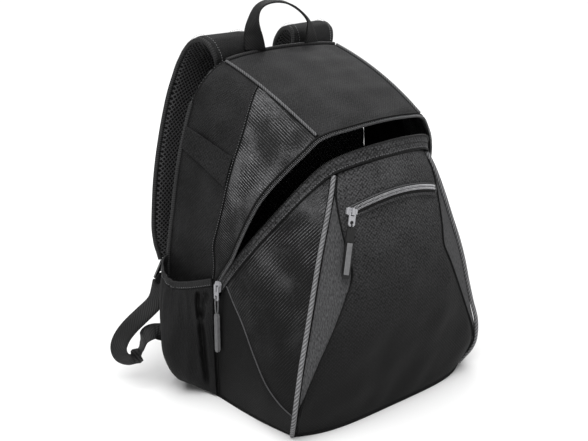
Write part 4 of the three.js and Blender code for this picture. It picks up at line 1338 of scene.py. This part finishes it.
@dataclass
class FrontShell:
    """The flared front: its middle cloth, slivers, gussets, piping and the lower zip."""

    piping_radius: float = 2.8
    coil_pitch: float = 1.9
    coil_shares: tuple[float, float] = (-0.1, 0.5)
    end_reach: float = 7.0
    seams: dict[str, tuple[str, Finish]] = field(
        default_factory=lambda: {
            "gusset_rib": ("gusset_base_{}", Finish.EDGE),
            "gusset_base": ("side_panel_{}", Finish.SEAM),
            "front_sliver": ("front_panel", Finish.SEAM),
        }
    )
    front_wrinkles: tuple[Wrinkles, ...] = (
        Wrinkles((0.4, 0, 1), 34, 120, 2.0, 3.3),
        Wrinkles((1, 0, 0.6), 24, 80, 1.2, 6.1),
    )
    gusset_wrinkles: tuple[Wrinkles, ...] = (Wrinkles((0, -0.6, 0.8), 26, 90, 2.2, 9.4),)

    def build(self) -> None:
        """Builds all of the front shell's pieces."""
        middle = Panel("front_panel", "front_cloth", Lay.FRONT)
        middle.work(*self.front_wrinkles, roll=0.8)
        middle.done(Finish.FRONT, bound=True)
        for side in Side:
            self.flank(side)
        self.lower_zip()
        self.pocket_zip()

    def flank(self, side: Side) -> None:
        """One side of the front: sliver, gusset and piping."""
        word = side.word
        for node, finish, lay in (
            ("front_sliver", Finish.HEATHER, Lay.FRONT),
            ("gusset_rib", Finish.GUSSET, Lay.SIDE),
            ("gusset_base", Finish.LOWER, Lay.SIDE),
        ):
            panel = Panel(f"{node}_{word}", f"{node}_cloth_{word}", lay)
            panel.work(*(self.gusset_wrinkles if "gusset" in node else ()), roll=0.6)
            panel.done(finish, bound=True)
            if node in self.seams:
                mate, trim = self.seams[node]
                seam = panel.edge_by(mate.format(word))
                dress(tube(f"{node}_edge_{word}", curve_through(seam, 0.004), 0.8 * MM, 8), trim)
        line = centre_line(f"front_piping_{word}", (0, 0, -1))
        cord = tube(f"crease_piping_{word}", curve_through(line, 0.0025), self.piping_radius * MM)
        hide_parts(f"front_piping_{word}")
        dress(cord, Finish.PIPING)

    def lower_zip(self) -> None:
        """The standing tape of the mouth with its coil and stitch rows."""
        tape = Panel("front_zip_tape", "mouth_band", Lay.LENGTHWISE)
        rails = tape.rails((-1, 0, -1))
        facing = facing_of(tape)
        tape.done(Finish.BAND)
        low, high = sorted(outer_rails(rails), key=lambda rail: sum(point.z for point in rail))
        dress(Coil(self.coil_pitch).row("mouth_zip_coil", high, facing), Finish.DARK_COIL)
        light = Thread(1.5, 0.5, 2.9)
        dress(light.row("mouth_band_stitches", [between(low, high, 0.16)], facing), Finish.STITCH)
        dark = Thread(2.6, 1.1, 2.9)
        dress(dark.row("mouth_band_dark_stitches", [between(low, high, 0.5)], facing), Finish.DARK_STITCH)
        dress(tube("mouth_seam_roll", curve_through(low, 0.004), 1.0 * MM), Finish.SEAM)

    def pocket_zip(self) -> None:
        """The bowed zip of the front pocket: a dark tape, two coils and the cloth lips over them."""
        tape = Panel("pocket_zip", "pocket_zip_cloth", Lay.FRONT, levels=2)
        strip = Strip.of("pocket_zip", (-1, 0, 0), Vector((0, -1, 0)))
        tape.done(Finish.TAPE)
        for row, share in enumerate(self.coil_shares):
            coil = Coil(1.7).row(f"pocket_zip_coil_{row + 1}", strip.line(share, 0.2), strip.facing)
            dress(coil, Finish.BRIGHT_COIL)
        ahead = (strip.middle[-1] - strip.middle[-2]).normalized() * self.end_reach * MM
        side = strip.across[-1] * strip.half[-1]
        angles = np.linspace(0.3, math.pi, 8)
        turn = [strip.middle[-1] + side * math.cos(a) + ahead * math.sin(a) for a in angles]
        upper = strip.line(1.0, -0.6) + turn
        dress(tube("pocket_zip_edge", curve_through(upper, 0.003), 0.8 * MM), Finish.EDGE)
        shadow = curve_through(strip.line(-0.6, 0.1), 0.004)
        dress(tube("pocket_zip_shadow", shadow, 1.6 * MM), Finish.SEAM)
        lip = curve_through(strip.line(-1.2, -0.6), 0.004)
        dress(tube("pocket_zip_lip", lip, 2.2 * MM), Finish.FRONT)


def outer_rails(rails: Sequence[Sequence[Vector]]) -> list[Sequence[Vector]]:
    """The two of four rails that lie further from the bag's middle line."""

    def reach(rail: Sequence[Vector]) -> float:
        return sum(Vector((p.x, p.y - HEART.y)).length for p in rail) / len(rail)

    pairs = sorted(rails, key=lambda rail: sum(point.z for point in rail))
    return [max(pairs[:2], key=reach), max(pairs[2:], key=reach)]


@dataclass
class BaseAndBack:
    """The base sheet and the padded back with its sewn channels."""

    padding: Padding = Padding(voxel=4.0, slack=-1.0, swell=1.0)
    channel: float = 5.0
    channel_depth: float = 3.4
    row_shares: tuple[float, float] = (0.3, 0.62)
    row_inset: float = 0.08
    column_share: float = 0.06
    column_ends: tuple[float, float] = (0.1, 0.8)

    def build(self) -> None:
        """Builds the base and the back."""
        base = Panel("base_panel", "base_cloth", Lay.FLAT, levels=1, rim_crease=1.0)
        base.done(Finish.LOWER)
        piece = Panel.merged_copy("back_panel", "back_pad")
        self.padding.fill(piece)
        self.sew(piece)
        mesh = piece.data
        layer = mesh.uv_layers.new(name="cut")
        for loop in mesh.loops:
            place = mesh.vertices[loop.vertex_index].co
            layer.data[loop.index].uv = (place.x, place.z)
        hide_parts("back_panel")
        dress(piece, Finish.AIR_MESH)

    def sew(self, piece: bpy.types.Object) -> None:
        """Presses the channels between the back's pads."""
        low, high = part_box("back_panel")
        wide, tall = high.x - low.x, high.z - low.z
        middle = (low.y + high.y) / 2
        left, right = low.x + self.row_inset * wide, high.x - self.row_inset * wide
        heights = [low.z + share * tall for share in self.row_shares]
        lines = [((left, middle, height), (right, middle, height)) for height in heights]
        foot, top = (low.z + share * tall for share in self.column_ends)
        columns = [side.value * wide * self.column_share for side in Side]
        lines += [((x, middle, foot), (x, middle, top)) for x in columns]
        mesh = piece.data
        points = coordinates(mesh)
        facing = normals(mesh)
        shift = np.zeros(len(points))
        for line in lines:
            flat = points.copy()
            flat[:, 1] = middle
            ends = tuple(tuple(value / MM for value in end) for end in line)
            fold = Fold(ends, self.channel, -self.channel_depth)
            shift += fold.at(flat)
        outside = facing[:, 1] > 0.3
        put(mesh, points + np.where(outside, shift, 0)[:, None] * np.array([0, 1, 0]))


@dataclass
class SidePockets:
    """The stretch pockets with their bound hems, gathers and the deep fold behind their front edge."""

    stem: tuple[tuple[float, float, float], ...] = (
        (-170, 29.6, 108),
        (-168, 28.4, 71),
        (-160.4, 32.3, 12.8),
    )
    branches: tuple[tuple[tuple[float, float, float], ...], ...] = (
        ((-170.7, 32, 147), (-172, 31, 124), (-170, 29.6, 106)),
        ((-163, 23.5, 144), (-168, 26.4, 122), (-170, 29.6, 106)),
    )
    gathers: tuple[Wrinkles, ...] = (
        Wrinkles((0, 0.05, 1), 5.5, 90, 3.4, 4.2, above=92),
        Wrinkles((0, -0.25, 1), 14, 90, 2.4, 8.8),
    )

    def folds(self, side: Side) -> list[Fold]:
        """The three arms of the fold on one side."""
        arms = [Fold(self.stem, 3.6, -10.0)] + [Fold(arm, 2.8, -8.0) for arm in self.branches]
        return arms if side is Side.LEFT else [arm.mirrored() for arm in arms]

    def build(self) -> None:
        """Builds both pockets."""
        for side in Side:
            word = side.word
            pocket = Panel(f"side_pocket_{word}", f"pocket_cloth_{word}", Lay.SIDE, levels=3)
            # The folds also paint shade into the pocket cloth, through its crease attribute.
            pocket.work(*self.folds(side), *self.gathers)
            pocket.done(Finish.POCKET)
            hem = Panel(f"pocket_hem_{word}", f"pocket_binding_{word}", Lay.LENGTHWISE, levels=2)
            rails = hem.rails((0, -1, 0))
            facing = facing_of(hem)
            hem.done(Finish.HEM)
            low, high = outer_rails(rails)
            sewn = [between(low, high, 0.22)]
            stitches = Thread(1.5, 0.5, 2.7).row(f"pocket_stitches_{word}", sewn, facing)
            dress(stitches, Finish.STITCH)


@dataclass
class Carrying:
    """The haul handle, the padded straps and their webbing, with its turn through the buckles."""

    padding: Padding = Padding(voxel=4.0, slack=1.0, swell=1.8)
    edge_radius: float = 3.0
    webbing_width: float = 21.0
    weave_reach: float = 3.6

    def build(self) -> None:
        """Builds all that the bag is carried by."""
        handle = Strip.of("haul_handle", (-1, 0, -1), Vector((-1, 0, 0)))
        self.webbing("haul_handle", "handle_webbing", handle)
        for side in Side:
            word = side.word
            self.shoulder(side)
            node = f"strap_webbing_{word}"
            strip = Strip.of(node, (0, 0, 1), Vector((0, 1, 1)))
            self.webbing(node, f"webbing_loop_{word}", strip)
            self.threading(side, strip)

    def webbing(self, node: str, name: str, strip: Strip) -> None:
        """One length of webbing with its woven edges."""
        panel = Panel(node, name, Lay.LENGTHWISE, levels=2, rim_crease=0.7)
        strip.lay(panel.piece)
        panel.done(Finish.WEBBING)

    def threading(self, side: Side, webbing: Strip) -> None:
        """The turn of webbing that holds a buckle and runs through its slots."""
        word = side.word
        strap = Strip.of(f"shoulder_strap_{word}", (0, 0, -1), Vector((0, 1, 0)))
        low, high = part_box(f"strap_buckle_{word}")
        middle = (low + high) / 2
        tall = (high.z - low.z) / 2
        out = Vector((0, self.weave_reach * MM, 0))
        start, end = strap.middle[0], webbing.middle[0]
        path = [start + Vector((0, 0, 0.012)), start, middle + Vector((0, 0, tall * 0.62)) + out]
        path += [middle + Vector((0, 0, tall * 0.1)) - out * 0.7, middle - Vector((0, 0, tall * 0.5)) + out]
        path += [end, webbing.middle[3]]
        line = curve_through(path, 0.003)
        facing = Vector((0, 1, 0))
        across = [facing.cross((q - p).normalized()).normalized() for p, q in zip(line, line[1:])]
        across.append(across[-1])
        band = ribbon(f"buckle_webbing_{word}", line, across, self.webbing_width / 2, 0.8)
        dress(band, Finish.WEBBING)

    def shoulder(self, side: Side) -> None:
        """One padded strap: mesh inside, plain cloth outside and bound edges."""
        word = side.word
        node = f"shoulder_strap_{word}"
        strip = Strip.of(node, (0, 0, -1), Vector((0, 1, 0)))
        piece = Panel.merged_copy(node, f"padded_strap_{word}")
        self.padding.fill(piece)
        strip.lay(piece)
        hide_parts(node)
        dress(piece, Finish.AIR_MESH)

        def outer(place: Vector, normal: Vector) -> bool:
            return normal.dot(strip.facing(place)) > 0.25

        cover = skin_of(piece, f"strap_cover_{word}", outer, 0.7)
        strip.lay(cover)
        dress(cover, Finish.COVER)
        for name, share in (("inner", -0.97), ("outer", 0.97)):
            rows = zip(strip.line(share), strip.out, strip.thick)
            edge = [point - out * thick for point, out, thick in rows]
            bound = tube(f"strap_edge_{name}_{word}", curve_through(edge, 0.005), self.edge_radius * MM)
            dress(bound, Finish.BINDING)
        rows = [strip.line(share, 0.9, (0.03, 0.97)) for share in (-0.82, 0.82)]
        dress(Thread().row(f"strap_stitches_{word}", rows, strip.facing), Finish.STITCH)


class Hardware:
    """The CAD's own hard pieces, kept in shape and given their finish."""

    PATCH_LENGTH, PATCH_WIDTH, PATCH_FOOT, PATCH_LIFT = 36.0, 6.4, 5.0, 0.25
    FINISHES = {
        "strap_buckle_left": Finish.BUCKLE,
        "strap_buckle_right": Finish.BUCKLE,
        "pocket_zip_slider": Finish.METAL,
        "pocket_zip_tab": Finish.METAL,
        "pocket_zip_pull": Finish.STRAP_PULL,
        "zip_slider_left": Finish.METAL,
        "zip_tab_left": Finish.METAL,
        "zip_pull_left": Finish.RUBBER,
        "zip_slider_right": Finish.METAL,
    }

    def build(self) -> None:
        """Gives each kept piece its material."""
        for node, finish in self.FINISHES.items():
            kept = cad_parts[node]
            kept.data.materials.clear()
            kept.data.materials.append(finish.material())
        self.patch()

    def patch(self) -> None:
        """The bare light patch on the lower part of the pocket zip's pull."""
        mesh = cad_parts["pocket_zip_pull"].data
        points = coordinates(mesh)
        centre = points.mean(0)
        axes = np.linalg.svd(points - centre, full_matrices=False)[2]
        along, across, out = (Vector(axis) for axis in axes)
        along = along if along.z > 0 else -along
        out = out if out.y < 0 else -out
        across = out.cross(along)
        reach = (points - centre) @ np.array(along)
        face = ((points - centre) @ np.array(out)).max()
        foot = Vector(centre) + along * float(reach.min()) + out * float(face + self.PATCH_LIFT * MM)
        line = [foot + along * (self.PATCH_FOOT + step * self.PATCH_LENGTH / 8) * MM for step in range(9)]
        piece = ribbon("pull_patch", line, [across] * 9, self.PATCH_WIDTH / 2, 0.35)
        bevel = piece.modifiers.new("soft", "BEVEL")
        bevel.width = 0.3 * MM
        bevel.segments = 2
        only(piece)
        bpy.ops.object.modifier_apply(modifier=bevel.name)
        dress(piece, Finish.RUBBER, Body.POCKET_PULL)


@dataclass
class Studio:
    """A pale floor, soft lights and the camera."""

    eye: Vector = field(default_factory=lambda: Vector((-0.88963, -0.95934, 0.64565)))
    aim: Vector = field(default_factory=lambda: Vector((-0.06472, -0.02367, 0.22562)))
    lens: float = 66.7

    def build(self) -> None:
        """Sets the floor, the lights, the world and the camera."""
        bpy.ops.object.select_all(action="DESELECT")
        bpy.ops.mesh.primitive_plane_add(size=14, location=(0, 0, -0.0002))
        floor = bpy.context.object
        floor.name = "studio_floor"
        bpy.ops.object.transform_apply(location=True)
        paint = Paint("pale_floor")
        floor.data.materials.append(paint.finish((0.8, 0.8, 0.8, 1), 0.9, Specular_IOR_Level=0.1))
        floor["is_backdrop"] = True
        world = bpy.data.worlds.new("studio_world")
        bpy.context.scene.world = world
        world.use_nodes = True
        world.node_tree.nodes["Background"].inputs[0].default_value = (1, 1, 1, 1)
        world.node_tree.nodes["Background"].inputs[1].default_value = 0.3
        bpy.context.scene.view_settings.view_transform = "Standard"
        sun = bpy.data.lights.new("overhead", "SUN")
        sun.energy = 3.4
        sun.angle = math.radians(60)
        lamp = bpy.data.objects.new("overhead", sun)
        lamp.rotation_euler = Vector((0.2, 0.12, -1.0)).to_track_quat("-Z", "Y").to_euler()
        bpy.context.scene.collection.objects.link(lamp)
        self.light("front_box", (-0.9, -0.9, 1.5), 0.8, 8)
        self.light("rim_box", (1.2, 0.9, 1.3), 0.8, 8)
        camera = bpy.data.cameras.new("photo_camera")
        camera.lens = self.lens
        camera.sensor_width = 36
        holder = bpy.data.objects.new("photo_camera", camera)
        holder.location = self.eye
        holder.rotation_euler = (self.aim - self.eye).to_track_quat("-Z", "Y").to_euler()
        bpy.context.scene.collection.objects.link(holder)
        bpy.context.scene.camera = holder

    def light(self, name: str, place: Sequence[float], size: float, power: float) -> None:
        """Adds a soft square light that looks at the bag."""
        data = bpy.data.lights.new(name, "AREA")
        data.size = size
        data.energy = power
        lamp = bpy.data.objects.new(name, data)
        lamp.location = place
        lamp.rotation_euler = (HEART - Vector(place)).to_track_quat("-Z", "Y").to_euler()
        bpy.context.scene.collection.objects.link(lamp)


def main() -> None:
    """Builds every sub-assembly and works out the sizes before and after."""
    logging.basicConfig(level=logging.INFO, format="%(name)s %(message)s")
    Studio().build()
    for part in (RearShell(), FrontShell(), BaseAndBack(), SidePockets(), Carrying(), Hardware()):
        part.build()
        LOG.info("%s is built", type(part).__name__)
    boxes = {"cad": CAD_BOX, "visual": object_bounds()}
    sizes = {name: [list(corner) for corner in box] for name, box in boxes.items()}


if __name__ == "__main__":
    main()
